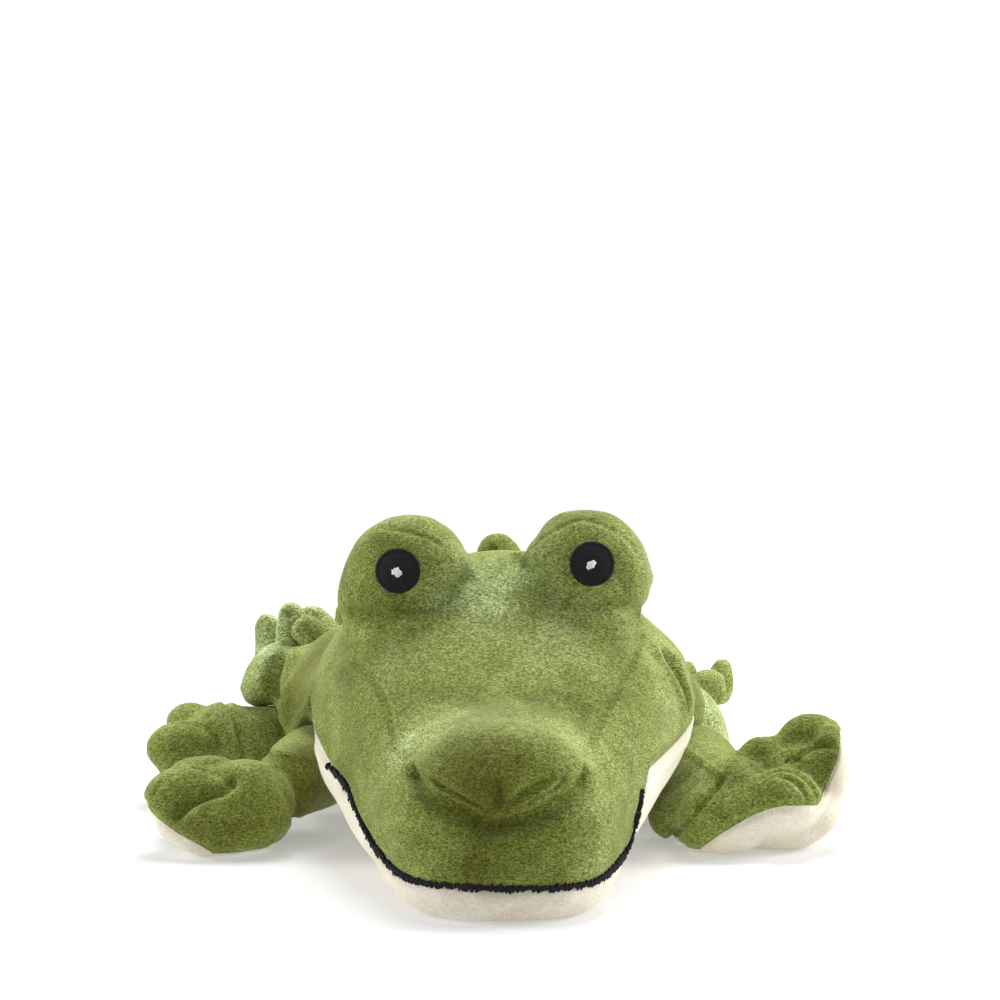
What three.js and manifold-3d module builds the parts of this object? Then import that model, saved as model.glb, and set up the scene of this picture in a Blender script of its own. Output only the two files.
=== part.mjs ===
// A plush crocodile that lies on its belly: a wide blunt head with raised eyes, a soft trunk that bends
// to the animal's right, a tail that sweeps back round to its left, and four short legs with padded feet.
// Sizes are in millimetres. +Z is up, the snout points to -Y, and the origin is under the belly on the
// surface that the toy lies on. Left and right are the animal's own, so its left is +X.
import * as THREE from "three";
import { mergeVertices } from "three/addons/utils/BufferGeometryUtils.js";
import Module from "manifold-3d";

const wasm = await Module();
wasm.setup();

// Fabric and clearances.
const skinWall = 2.5; // plush with its backing
const seamGap = 0.3; // between two panels that are sewn edge to edge
const fillGap = 0.6; // between the skin and the filling inside it
const flexGap = 1; // between two parts that turn on each other at a soft seam
const overrun = 40; // how far a cutting solid runs past what it cuts
const room = 1000; // larger than the toy
const weldReach = 0.0001; // points nearer to each other than this are one

// Head.
const headLength = 229; // snout to the round back that sits in the trunk
const headWidth = 154;
const crownHeight = 115;
const cheekHeight = 52; // where the head is widest
const neckPivotY = -62;
const snoutY = -214;
const firstRingShare = 0.001; // of the head's length, from the snout back to its first ring
const snoutRoundPlan = 45;
const snoutRoundTop = 20;

// Eyes.
const eyeMoundWidth = 53;
const eyeMoundDepth = 50;
const eyeMoundHeight = 56;
const eyeSpread = 37; // middle of the pair to the middle of a mound
const eyeShift = -3; // the pair sits a little to the animal's right
const eyeMoundY = -85;
const eyeMoundZ = 103;
const eyeTilt = THREE.MathUtils.degToRad(15); // the eyes look a little upwards
const eyeRadius = 9.2;
const glintRadius = 2.3;
const threadThickness = 0.9; // embroidery over the fabric
const glintRise = 0.4; // the highlight's stitches over the black ones

// Nose pad.
const noseWidth = 58;
const noseDepth = 46;
const noseHeight = 38;
const noseY = -189;
const noseZ = 46;
const noseDroop = 9; // how far the middle of its lower edge hangs

// Mouth line.
const mouthStitchRadius = 1.8;
const mouthCornerRight = 94; // from the snout back to each end of the line
const mouthCornerLeft = 70;

// Trunk and tail.
const trunkWidth = 184;
const trunkHeight = 88;
const bellySeamHeight = 15;
const tailLength = 286;
const tailHeight = 62;
const tailTipHeight = 41;
const spineFrontY = -48;
const undersideShare = 1.12; // how far a section would reach below the floor, before it is cut flat
const tipClosing = 0.01; // a rounded end stops this far short of its point
const trunkLength = 175;
const tailPivotAt = trunkLength; // along the spine, from the front of the trunk
const tailBallRadius = 44;
const tailBendAt = trunkLength + tailLength / 2;
const tailBendRadius = 28;
const tailRimShare = 0.36; // of a tail ball's radius, from its middle forward to the rim of its socket
const tailTipRound = 10;
const tailSeamShare = 0.75; // of the height where the tail is widest

// Back spikes.
const spikeHeight = 20;
const neckSpikeHeight = 25;
const spikeLength = 21; // at its foot, along the back
const spikeThickness = 17;
const spikeSunk = 6; // how deep a spike's foot sits below the skin before the body is cut from it
const neckSpikeAt = 62; // along the spine
const rowFirstAt = 66;
const rowPitch = 23;
const rowLeftSpikes = 4;
const rowRightSpikes = 4;
const rowTurnDegrees = 43; // from sideways up to a row, seen along the back
const backLeanDegrees = 10; // the back lies rolled towards the animal's right
const tailSpikeStartShare = 0.5; // of a tail ball's radius, from its middle back to the first spike
const tailSpikeEnd = 10; // last spike to the end of a stretch of tail
const tailBaseSpikes = 4;
const tailTipSpikes = 6;
const spikeFullShare = 0.6; // lower is rounder
const tailSpikeSmallestShare = 0.72; // of the full size at the tip of the tail

// Legs.
const legHeight = 19; // of the axis of a leg over the floor
const legRootRadius = 19;
const legWristRadius = 15.5;
const thighRadius = 28;
const footLength = 49;
const footWidth = 57;
const footHeight = 38;
const soleHeight = 12;
const toeSpreadDegrees = 17;
const toeLengthShare = 0.36; // of the foot's length, half a toe's length
const toeWidthShare = 0.2; // of the foot's width, half a toe's width
const toeHeightShare = 0.92; // of the palm's height
const toeApartShare = 0.12;
const outerToeBackShare = 0.06; // how much less the outer toes reach
const palmReachShare = 0.36;
const palmWidthShare = 0.44;
const footSunkShare = 0.25; // of its half height, pressed flat on the floor

// Facets.
const ringSides = 22;
const innerSides = 12;
const sleeveSides = 16;
const sleeveArcSteps = 6;
const padSides = 8;
const moundSides = 16;
const noseRings = 11;
const eyeSides = 12;
const ballRowShare = 0.7; // rows of a ball to its sides
const headRings = 13;
const headInnerRings = 9;
const ringCrowding = 1.5; // over 1 draws the rings together towards the snout
const trunkRings = 11;
const tailBaseRings = 9;
const tailTipRings = 10;
const headBallSides = 20;
const tailSides = 12;
const tailBallSides = 20;
const coreRings = 6;
const spikeRings = 4;
const seamSteps = 24;
const cordSteps = 32;
const mouthPathSpots = 11; // on each side
const cordSides = 6;
const cordCrowding = 1.8; // over 1 draws the steps together towards the snout
const rowSearchSteps = 20; // in the distance between two spikes, when the next is looked for

const colours = {
  green: new THREE.MeshStandardMaterial({ color: 0x7d9a4a, roughness: 0.9, metalness: 0 }),
  cream: new THREE.MeshStandardMaterial({ color: 0xece5d2, roughness: 0.9, metalness: 0 }),
  black: new THREE.MeshStandardMaterial({ color: 0x1c1b1e, roughness: 0.7, metalness: 0 }),
  white: new THREE.MeshStandardMaterial({ color: 0xf2f2f0, roughness: 0.7, metalness: 0 }),
  filling: new THREE.MeshStandardMaterial({ color: 0xf5f5f2, roughness: 1, metalness: 0 }),
};

// A closed three.js geometry as a solid, moved by a matrix if one is given.
function solid(geometry, matrix = new THREE.Matrix4()) {
  const bare = new THREE.BufferGeometry();
  bare.setAttribute("position", geometry.getAttribute("position").clone());
  if (geometry.index) bare.setIndex(geometry.index.clone());
  bare.applyMatrix4(matrix);
  const merged = mergeVertices(bare, weldReach);
  const shape = new wasm.Mesh({
    numProp: 3,
    vertProperties: new Float32Array(merged.getAttribute("position").array),
    triVerts: new Uint32Array(merged.index.array),
  });
  return new wasm.Manifold(shape);
}

function geometryOf(shape) {
  const mesh = shape.getMesh();
  const geometry = new THREE.BufferGeometry();
  const places = new Float32Array(mesh.numVert * 3);
  for (let i = 0; i < mesh.numVert; i++) {
    places.set(mesh.vertProperties.subarray(i * mesh.numProp, i * mesh.numProp + 3), i * 3);
  }
  geometry.setAttribute("position", new THREE.BufferAttribute(places, 3));
  geometry.setIndex(new THREE.BufferAttribute(new Uint32Array(mesh.triVerts), 1));
  geometry.computeVertexNormals();
  return geometry;
}

const larger = (best, one) => (one.volume() > best.volume() ? one : best);
const largestOf = (shape) => shape.decompose().reduce(larger);
const unionOf = (shapes) => shapes.reduce((all, one) => all.add(one));

function place(x, y, z, turn = new THREE.Euler(), scale = [1, 1, 1]) {
  const spin = new THREE.Quaternion().setFromEuler(turn);
  return new THREE.Matrix4().compose(new THREE.Vector3(x, y, z), spin, new THREE.Vector3(...scale));
}

function box(low, high) {
  const size = high.map((value, i) => value - low[i]);
  const middle = high.map((value, i) => (value + low[i]) / 2);
  return solid(new THREE.BoxGeometry(...size), place(...middle));
}

// A round cushion of the given radii.
function ellipsoid(centre, radii, sides = padSides, turn = new THREE.Euler()) {
  const ball = new THREE.SphereGeometry(1, sides, Math.round(sides * ballRowShare));
  return solid(ball, place(...centre, turn, radii));
}

const aboveFloor = box([-room, -room, 0], [room, room, room]);
const aboveHeight = (z) => box([-room, -room, z], [room, room, room]);
const belowHeight = (z) => box([-room, -room, -room], [room, room, z]);

// The value at a place in a table of [place, value, ...] rows, on a smooth curve through the rows.
function along(table, at, column) {
  const last = table.length - 1;
  const x = (i) => table[i][0];
  const v = (i) => table[i][column];
  if (at <= x(0)) return v(0);
  if (at >= x(last)) return v(last);
  const i = table.findIndex((row) => row[0] > at) - 1;
  const slope = (k) => {
    const before = Math.max(k - 1, 0);
    const after = Math.min(k + 1, last);
    return (v(after) - v(before)) / (x(after) - x(before));
  };
  const span = x(i + 1) - x(i);
  const t = (at - x(i)) / span;
  const start = (1 + 2 * t) * (1 - t) ** 2 * v(i) + t * (1 - t) ** 2 * span * slope(i);
  const end = t ** 2 * (3 - 2 * t) * v(i + 1) + t ** 2 * (t - 1) * span * slope(i + 1);
  return start + end;
}

// How far a rounded end of that radius has opened at a distance from its tip, from 0 to 1.
const opened = (distance, radius) => {
  const left = 1 - Math.min(distance / radius, 1);
  return Math.sqrt(1 - left * left);
};

// A point on a section: turned 0 is the left side, a quarter turn the top.
function sectionPoint(section, turned) {
  const across = Math.cos(turned);
  const up = Math.sin(turned);
  const side = across >= 0 ? section.left : -section.right;
  const rise = up >= 0 ? section.top - section.mid : section.low - section.mid;
  const offset = side * Math.abs(across) ** (2 / section.full);
  const z = section.mid + rise * Math.abs(up) ** (2 / section.full);
  const x = section.centre.x + section.sideways.x * offset;
  const y = section.centre.y + section.sideways.y * offset;
  return new THREE.Vector3(x, y, Math.max(z, section.floor));
}

// The same section taken in by a wall on every side.
function takenIn(section, wall) {
  const narrowed = (size) => Math.max(size - wall, size / 2);
  const top = Math.max(section.top - wall, section.mid);
  const low = section.low + wall;
  const floor = section.floor + wall;
  return { ...section, left: narrowed(section.left), right: narrowed(section.right), top, low, floor };
}

// A closed solid through sections. An end whose section has closed to a point gets an apex.
function loft(sections, sides = ringSides) {
  const places = [];
  const faces = [];
  const rings = sections.map((section) => {
    const ring = [];
    for (let k = 0; k < sides; k++) {
      ring.push(places.length / 3);
      places.push(...sectionPoint(section, (k / sides) * 2 * Math.PI).toArray());
    }
    return ring;
  });
  for (let r = 0; r + 1 < rings.length; r++) {
    for (let k = 0; k < sides; k++) {
      const next = (k + 1) % sides;
      faces.push(rings[r][k], rings[r + 1][k], rings[r + 1][next]);
      faces.push(rings[r][k], rings[r + 1][next], rings[r][next]);
    }
  }
  const cap = (ring, section, outwards) => {
    const apex = places.length / 3;
    places.push(section.centre.x, section.centre.y, Math.max(section.mid, section.floor));
    for (let k = 0; k < sides; k++) {
      const next = (k + 1) % sides;
      faces.push(apex, ...(outwards ? [ring[k], ring[next]] : [ring[next], ring[k]]));
    }
  };
  cap(rings[0], sections[0], true);
  cap(rings[rings.length - 1], sections[sections.length - 1], false);
  const geometry = new THREE.BufferGeometry();
  geometry.setAttribute("position", new THREE.BufferAttribute(new Float32Array(places), 3));
  geometry.setIndex(faces);
  const made = solid(geometry);
  return made.volume() < 0 ? solid(geometry.setIndex(faces.toReversed())) : made;
}

const parts = new THREE.Group();
function piece(name, shape, colour) {
  const mesh = new THREE.Mesh(geometryOf(shape), colours[colour]);
  mesh.name = name;
  parts.add(mesh);
}

// Head. Rows run from the snout back: place as a share of the head's length, half width as a share of
// half the head's width, top as a share of the crown's height, and how full the section is.
const headOutlineShares = [
  [0.0, 0.65, 0.37, 2.5],
  [0.11, 0.64, 0.45, 2.55],
  [0.19, 0.67, 0.53, 2.55],
  [0.28, 0.76, 0.62, 2.4],
  [0.4, 0.86, 0.77, 2.25],
  [0.5, 0.94, 0.9, 2.1],
  [0.59, 0.99, 0.975, 2.03],
  [0.664, 1.0, 1.0, 2.0],
  [1.0, 1.0, 1.0, 2.0],
];
// The mouth seam, which is also the widest line: place along the head, and share of the cheek's height.
const mouthSeamShares = [
  [0.0, 0.21],
  [0.06, 0.26],
  [0.17, 0.41],
  [0.28, 0.58],
  [0.41, 0.74],
  [0.52, 0.89],
  [0.6, 0.97],
  [0.664, 1.0],
  [1.0, 1.0],
];
const headBackRise = crownHeight - cheekHeight;

function headSection(distance) {
  const share = distance / headLength;
  const mid = cheekHeight * along(mouthSeamShares, share, 1);
  const half = (headWidth / 2) * along(headOutlineShares, share, 1) * opened(distance, snoutRoundPlan);
  const rise = crownHeight * along(headOutlineShares, share, 2) - mid;
  const depth = headBackRise * (mid / cheekHeight);
  return {
    centre: new THREE.Vector2(0, snoutY + distance),
    sideways: new THREE.Vector2(1, 0),
    left: half,
    right: half,
    mid,
    top: mid + rise * opened(distance, snoutRoundTop),
    low: mid - depth * opened(distance, snoutRoundTop),
    full: along(headOutlineShares, share, 3),
    floor: 0,
  };
}

// The round back of the head, which turns in the trunk's hollow front. Grow adds to its radius.
function headBall(grow, sides = headBallSides) {
  const radius = headWidth / 2 + grow;
  const radii = [radius, radius, headBackRise + grow];
  return ellipsoid([0, neckPivotY, cheekHeight], radii, sides);
}

function headBody(inset, sides = innerSides, rings = headInnerRings) {
  const sections = [];
  for (let i = 0; i <= rings; i++) {
    const eased = (i / rings) ** ringCrowding;
    const distance = Math.max(eased, firstRingShare) * headLength;
    const section = takenIn(headSection(distance), inset);
    section.centre.y += inset * (1 - eased);
    sections.push(section);
  }
  const front = box([-room, -room, -room], [room, neckPivotY, room]);
  const limits = front.add(headBall(-inset, sides)).intersect(aboveHeight(inset));
  return loft(sections, sides).intersect(limits);
}

// The space below the mouth seam, raised or lowered by an offset.
function belowMouthSeam(offset) {
  const outline = new THREE.Shape();
  outline.moveTo(snoutY - overrun, -overrun);
  const steps = seamSteps;
  outline.lineTo(snoutY - overrun, headSection(0).mid + offset);
  for (let i = 0; i <= steps; i++) {
    const distance = (i / steps) * headLength;
    outline.lineTo(snoutY + distance, headSection(distance).mid + offset);
  }
  outline.lineTo(snoutY + headLength + overrun, cheekHeight + offset);
  outline.lineTo(snoutY + headLength + overrun, -overrun);
  outline.closePath();
  const slab = new THREE.ExtrudeGeometry(outline, { depth: headWidth + 2 * overrun, bevelEnabled: false });
  const stand = new THREE.Matrix4().makeBasis(
    new THREE.Vector3(0, 1, 0),
    new THREE.Vector3(0, 0, 1),
    new THREE.Vector3(1, 0, 0),
  );
  stand.setPosition(-headWidth / 2 - overrun, 0, 0);
  return solid(slab, stand);
}

// The mouth line's path on the skin, from the right corner round the snout to the left corner.
function mouthPath() {
  const onSkin = (distance, side) => {
    const section = headSection(distance);
    return new THREE.Vector3(side * section.left, section.centre.y, section.mid);
  };
  const points = [];
  const spots = mouthPathSpots;
  for (let i = spots; i >= 1; i--) points.push(onSkin(mouthCornerRight * (i / spots) ** cordCrowding, -1));
  points.push(new THREE.Vector3(0, snoutY, headSection(0).mid));
  for (let i = 1; i <= spots; i++) points.push(onSkin(mouthCornerLeft * (i / spots) ** cordCrowding, 1));
  return new THREE.CatmullRomCurve3(points, false, "centripetal");
}

function mouthCord(radius) {
  const corners = [];
  for (let k = 0; k < cordSides; k++) {
    const turned = (k / cordSides) * 2 * Math.PI;
    corners.push(new THREE.Vector2(radius * Math.cos(turned), radius * Math.sin(turned)));
  }
  const options = { steps: cordSteps, extrudePath: mouthPath(), bevelEnabled: false };
  return solid(new THREE.ExtrudeGeometry(new THREE.Shape(corners), options));
}

function makeHead() {
  const outside = headBody(0, headBallSides, headRings).intersect(aboveFloor);
  const skin = outside.subtract(headBody(skinWall));
  const groove = mouthCord(mouthStitchRadius + seamGap);
  const jaw = skin.intersect(belowMouthSeam(-seamGap / 2)).subtract(groove);
  const top = skin.subtract(belowMouthSeam(seamGap / 2)).subtract(groove);
  piece("head_top", top, "green");
  piece("lower_jaw", jaw, "cream");
  piece("head_filling", headBody(skinWall + fillGap).subtract(groove), "filling");
  piece("mouth_stitching", mouthCord(mouthStitchRadius), "black");

  // The pads are sewn on over the head, so the head shapes their undersides.
  const underPads = headBody(-seamGap, headBallSides, headRings);
  piece("nose_pad", nosePad().subtract(underPads), "green");
  for (const [side, sign] of [["left", 1], ["right", -1]]) {
    const mound = eyeMound(sign, 0).subtract(underPads);
    piece(`eye_mound_${side}`, mound, "green");
    const hole = eyeColumn(sign, glintRadius + seamGap);
    const disc = eyeMound(sign, seamGap + threadThickness).intersect(eyeColumn(sign, eyeRadius));
    piece(`eye_${side}`, disc.subtract(eyeMound(sign, seamGap)).subtract(hole), "black");
    const raised = eyeMound(sign, seamGap + threadThickness + glintRise);
    const glint = raised.intersect(eyeColumn(sign, glintRadius)).subtract(eyeMound(sign, seamGap));
    piece(`eye_glint_${side}`, glint, "white");
  }
}

// A puffed pad whose lower edge hangs lowest in the middle.
function nosePad() {
  const ball = new THREE.SphereGeometry(1, moundSides, noseRings);
  const spots = ball.getAttribute("position");
  ball.applyMatrix4(place(0, 0, 0, new THREE.Euler(), [noseWidth / 2, noseDepth / 2, noseHeight / 2]));
  for (let i = 0; i < spots.count; i++) {
    const lower = Math.max(-spots.getZ(i) / (noseHeight / 2), 0);
    const middle = 1 - Math.abs(spots.getX(i)) / (noseWidth / 2);
    spots.setZ(i, spots.getZ(i) + noseDroop * lower * (1 / 2 - middle));
  }
  return solid(ball, place(0, noseY, noseZ));
}

function eyeMound(sign, grow) {
  const radii = [eyeMoundWidth / 2 + grow, eyeMoundDepth / 2 + grow, eyeMoundHeight / 2 + grow];
  return ellipsoid([sign * eyeSpread + eyeShift, eyeMoundY, eyeMoundZ], radii, moundSides);
}

// A round column from the middle of an eye mound out through the front, where the eye is sewn.
function eyeColumn(sign, radius) {
  const length = eyeMoundDepth;
  const column = new THREE.CylinderGeometry(radius, radius, length, eyeSides).translate(0, length / 2, 0);
  const ahead = new THREE.Euler(Math.PI - eyeTilt, 0, 0);
  return solid(column, place(sign * eyeSpread + eyeShift, eyeMoundY, eyeMoundZ, ahead));
}

// Trunk and tail follow one spine in the floor plane. Rows: place as a share of its run, and how far it
// has turned to the animal's right of straight back.
const spineRun = trunkLength + tailLength;
const spineTurnShares = [
  [0.0, 0.0],
  [0.1, 0.06],
  [0.2, 0.28],
  [0.3, 0.42],
  [0.4, 0.3],
  [0.55, -0.3],
  [0.72, -0.92],
  [0.85, -1.1],
  [1.0, -1.1],
];
const spineSteps = 120;
const spinePoints = [new THREE.Vector2(0, spineFrontY)];
const turnAt = (share) => (Math.PI / 2) * along(spineTurnShares, share, 1);
for (let i = 0; i < spineSteps; i++) {
  const turned = turnAt((i + 1 / 2) / spineSteps);
  const step = new THREE.Vector2(-Math.sin(turned), Math.cos(turned)).multiplyScalar(spineRun / spineSteps);
  spinePoints.push(spinePoints[i].clone().add(step));
}

function spineAt(distance) {
  const run = (distance / spineRun) * spineSteps;
  const i = Math.min(Math.floor(run), spineSteps - 1);
  const at = spinePoints[i].clone().lerp(spinePoints[i + 1], run - i);
  return { at, turned: turnAt(distance / spineRun) };
}

// The three stretches along the spine. Each outline's rows are: place as a share of the stretch, left
// and right half widths as shares of half the stretch's width, its top and its widest height as shares
// of its height, and how full its section is.
const trunkOutlineShares = [
  [0.0, 0.76, 0.76, 0.95, 0.56, 2.0],
  [0.17, 0.88, 0.88, 0.99, 0.54, 2.0],
  [0.35, 0.92, 0.93, 0.99, 0.51, 1.95],
  [0.55, 0.92, 1.01, 0.96, 0.49, 1.95],
  [0.7, 0.87, 1.07, 0.92, 0.47, 1.95],
  [0.85, 0.76, 0.95, 0.87, 0.45, 2.0],
  [1.0, 0.56, 0.6, 0.79, 0.42, 2.0],
];
const tailBaseOutlineShares = [
  [0.0, 1.0, 1.0, 1.0, 0.42, 2.0],
  [0.3, 0.95, 0.95, 0.94, 0.4, 2.1],
  [0.65, 0.84, 0.84, 0.84, 0.35, 2.1],
  [1.0, 0.76, 0.76, 0.76, 0.29, 2.1],
];
const tailTipOutlineShares = [
  [0.0, 1.0, 1.0, 1.0, 0.42, 2.0],
  [0.25, 0.78, 0.78, 0.82, 0.4, 2.1],
  [0.6, 0.54, 0.54, 0.6, 0.33, 2.1],
  [1.0, 0.38, 0.38, 0.4, 0.21, 2.1],
];
const stretches = {
  trunk: {
    from: 0, to: tailPivotAt - tailBallRadius * tailRimShare,
    half: trunkWidth / 2, height: trunkHeight, outline: trunkOutlineShares, tipRound: 0, rings: trunkRings,
    coreFrom: neckPivotY + headWidth / 2 + flexGap - spineFrontY,
    coreTo: tailPivotAt - tailBallRadius - flexGap,
  },
  tail_base: {
    from: tailPivotAt, to: tailBendAt - tailBendRadius * tailRimShare,
    half: tailBallRadius, height: tailHeight, outline: tailBaseOutlineShares, tipRound: 0, rings: tailBaseRings,
    coreFrom: tailPivotAt, coreTo: tailBendAt - tailBendRadius - flexGap,
  },
  tail_tip: {
    from: tailBendAt, to: spineRun,
    half: tailBendRadius, height: tailTipHeight, outline: tailTipOutlineShares, tipRound: tailTipRound,
    rings: tailTipRings, coreFrom: tailBendAt, coreTo: spineRun - tailTipRound,
  },
};

function sectionOf(stretch, distance) {
  const { at, turned } = spineAt(distance);
  const share = (distance - stretch.from) / (stretch.to - stretch.from);
  const sized = (column) => along(stretch.outline, share, column);
  const tip = stretch.tipRound ? opened(stretch.to - distance, stretch.tipRound) : 1;
  const mid = stretch.height * sized(4);
  return {
    centre: at,
    sideways: new THREE.Vector2(Math.cos(turned), Math.sin(turned)),
    left: stretch.half * sized(1) * tip,
    right: stretch.half * sized(2) * tip,
    mid,
    top: mid + (stretch.height * sized(3) - mid) * tip,
    low: mid - undersideShare * mid * tip,
    full: sized(5),
    floor: 0,
  };
}

function stretchBody(stretch, inset, sides) {
  const sections = [];
  const rings = stretch.rings;
  for (let i = 0; i <= rings; i++) {
    const distance = THREE.MathUtils.lerp(stretch.from, stretch.to, i / rings);
    const last = stretch.to - Math.max(inset, tipClosing);
    sections.push(takenIn(sectionOf(stretch, Math.min(distance, last)), inset));
  }
  return loft(sections, sides);
}

// The room for the filling inside a stretch, clear of what is hollowed out at either end of it.
function stretchCore(stretch, inset) {
  const sections = [];
  const [first, last] = [stretch.coreFrom + inset, stretch.coreTo - inset];
  for (let i = 0; i <= coreRings; i++) {
    const distance = THREE.MathUtils.lerp(first, last, i / coreRings);
    sections.push(takenIn(sectionOf(stretch, distance), inset));
  }
  return loft(sections, innerSides);
}

// The round root of a stretch of tail, on an upright axis where the seam flexes.
function tailBall(stretch, grow) {
  const section = sectionOf(stretch, stretch.from);
  const radius = stretch.half + grow;
  const high = section.top - section.mid + grow;
  return ellipsoid([section.centre.x, section.centre.y, section.mid], [radius, radius, high], tailBallSides);
}

// The half of space behind the front of a stretch.
function behind(stretch) {
  const section = sectionOf(stretch, stretch.from);
  const heading = Math.atan2(section.sideways.y, section.sideways.x);
  const block = new THREE.BoxGeometry(room, room, room).translate(0, room / 2, 0);
  return solid(block, place(section.centre.x, section.centre.y, 0, new THREE.Euler(0, 0, heading)));
}

// Legs. Each has a root and a wrist, given across as shares of the trunk's width and back as shares of
// its length; its foot's length as a share of the usual; the way the foot points; and how it tips and lifts.
const legs = {
  front_right: {
    side: -1, rootShare: [0.43, 0.171], wristShare: [0.508, -0.172], footShare: 1.05, rootRadius: legRootRadius,
    wristRadius: legWristRadius, pointing: -166, pitch: 0, roll: 3, lift: 0, swing: [-4, 24],
  },
  front_left: {
    side: 1, rootShare: [0.43, 0.171], wristShare: [0.502, -0.164], footShare: 1.06, rootRadius: legRootRadius,
    wristRadius: legWristRadius, pointing: -8, pitch: 22, roll: 14, lift: 1, swing: [-4, 24],
  },
  hind_right: {
    side: -1, rootShare: [0.49, 0.526], wristShare: [0.587, 0.463], footShare: 1, rootRadius: legRootRadius,
    wristRadius: legWristRadius, pointing: -178, pitch: 0, roll: 3, lift: 0, swing: [-2, 24],
  },
  hind_left: {
    side: 1, rootShare: [0.375, 0.56], wristShare: [0.37, 0.823], footShare: 1, rootRadius: thighRadius,
    wristRadius: legWristRadius, pointing: 84, pitch: 0, roll: 0, lift: 0, swing: [-18, 4],
  },
};
for (const leg of Object.values(legs)) {
  const across = (share) => leg.side * share * trunkWidth;
  const back = (share) => spineFrontY + share * trunkLength;
  leg.root = [across(leg.rootShare[0]), back(leg.rootShare[1])];
  leg.wrist = [across(leg.wristShare[0]), back(leg.wristShare[1])];
  leg.length = Math.hypot(leg.wrist[0] - leg.root[0], leg.wrist[1] - leg.root[1]);
  leg.heading = Math.atan2(leg.wrist[1] - leg.root[1], leg.wrist[0] - leg.root[0]);
}

// A sleeve with a ball at its root and a plain end at the wrist, lying along its own axis.
function sleeve(leg, grow) {
  const rootRadius = leg.rootRadius + grow;
  const wristRadius = leg.wristRadius + grow;
  const profile = [];
  const arc = Math.PI / 2 + Math.acos(wristRadius / rootRadius);
  for (let i = 0; i <= sleeveArcSteps; i++) {
    const turned = -Math.PI / 2 + (i / sleeveArcSteps) * arc;
    profile.push(new THREE.Vector2(rootRadius * Math.cos(turned), rootRadius * Math.sin(turned)));
  }
  profile[0].x = 0;
  profile.push(new THREE.Vector2(wristRadius, leg.length + grow));
  profile.push(new THREE.Vector2(0, leg.length + grow));
  const lie = new THREE.Euler(0, 0, leg.heading - Math.PI / 2);
  return solid(new THREE.LatheGeometry(profile, sleeveSides), place(...leg.root, legHeight, lie));
}

// The space that a sleeve needs to swing: a round seat for its root, and a funnel that opens outwards.
function legRoom(leg, grow) {
  const [low, high] = leg.swing.map((degrees) => THREE.MathUtils.degToRad(degrees));
  const spread = (high - low) / 2;
  const neck = leg.wristRadius + flexGap + grow;
  const mouth = neck / Math.cos(spread) + leg.length * Math.tan(spread);
  const corners = [[0, 0], [neck, 0], [mouth, leg.length], [0, leg.length]];
  const profile = corners.map(([x, y]) => new THREE.Vector2(x, y));
  const heading = leg.heading + (leg.side * (low + high)) / 2;
  const lie = new THREE.Euler(0, 0, heading - Math.PI / 2);
  const funnel = solid(new THREE.LatheGeometry(profile, sleeveSides), place(...leg.root, legHeight, lie));
  const radius = leg.rootRadius + flexGap + grow;
  return funnel.add(ellipsoid([...leg.root, legHeight], [radius, radius, radius], sleeveSides));
}

// A foot: a palm and three toes. Its frame has +X along the middle toe and the floor at zero.
function foot(leg) {
  const footReach = footLength * leg.footShare;
  const toeLength = footReach * toeLengthShare;
  const half = footHeight / 2 / (1 - footSunkShare / 2);
  const middle = half * (1 - footSunkShare);
  const palmReach = footReach * palmReachShare;
  const cushions = [ellipsoid([palmReach, 0, middle], [footReach / 2, footWidth * palmWidthShare, half])];
  for (const which of [-1, 0, 1]) {
    const fan = THREE.MathUtils.degToRad(which * toeSpreadDegrees);
    const reach = (footReach - toeLength) * (1 - Math.abs(which) * outerToeBackShare);
    const centre = [reach * Math.cos(fan), reach * Math.sin(fan) + which * footWidth * toeApartShare, middle];
    const radii = [toeLength, footWidth * toeWidthShare, half * toeHeightShare];
    cushions.push(ellipsoid(centre, radii, padSides, new THREE.Euler(0, 0, fan)));
  }
  return unionOf(cushions);
}

function footPlace(leg) {
  const radians = THREE.MathUtils.degToRad;
  const turn = new THREE.Euler(radians(leg.roll), radians(-leg.pitch), radians(leg.pointing), "ZYX");
  return place(...leg.wrist, leg.lift, turn);
}

function makeLeg(name, leg) {
  const arm = sleeve(leg, 0).intersect(aboveFloor);
  const lie = footPlace(leg);
  const tipped = (shape) => solid(geometryOf(shape), lie);
  const pad = foot(leg);
  const around = sleeve(leg, seamGap);
  const finish = (shape) => largestOf(tipped(shape).intersect(aboveFloor).subtract(around));
  piece(`${name}_leg`, arm, "green");
  piece(`${name}_foot`, finish(pad.intersect(aboveHeight(soleHeight + seamGap))), "green");
  piece(`${name}_sole`, finish(pad.intersect(belowHeight(soleHeight))), "cream");
}

// One spike standing on the origin, wide along Y, with a rounded top.
function spikeShape(size) {
  const profile = [new THREE.Vector2(0, -spikeSunk * size)];
  const steps = spikeRings;
  for (let i = 0; i <= steps; i++) {
    const share = i / steps;
    const width = i === steps ? 0 : Math.cos((share * Math.PI) / 2) ** spikeFullShare;
    profile.push(new THREE.Vector2(width, size * THREE.MathUtils.lerp(-spikeSunk, spikeHeight, share)));
  }
  const flattened = new THREE.Matrix4().makeScale((spikeThickness / 2) * size, 1, (spikeLength / 2) * size);
  const upright = new THREE.Matrix4().makeRotationX(Math.PI / 2);
  return solid(new THREE.LatheGeometry(profile, padSides), upright.multiply(flattened));
}

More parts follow.
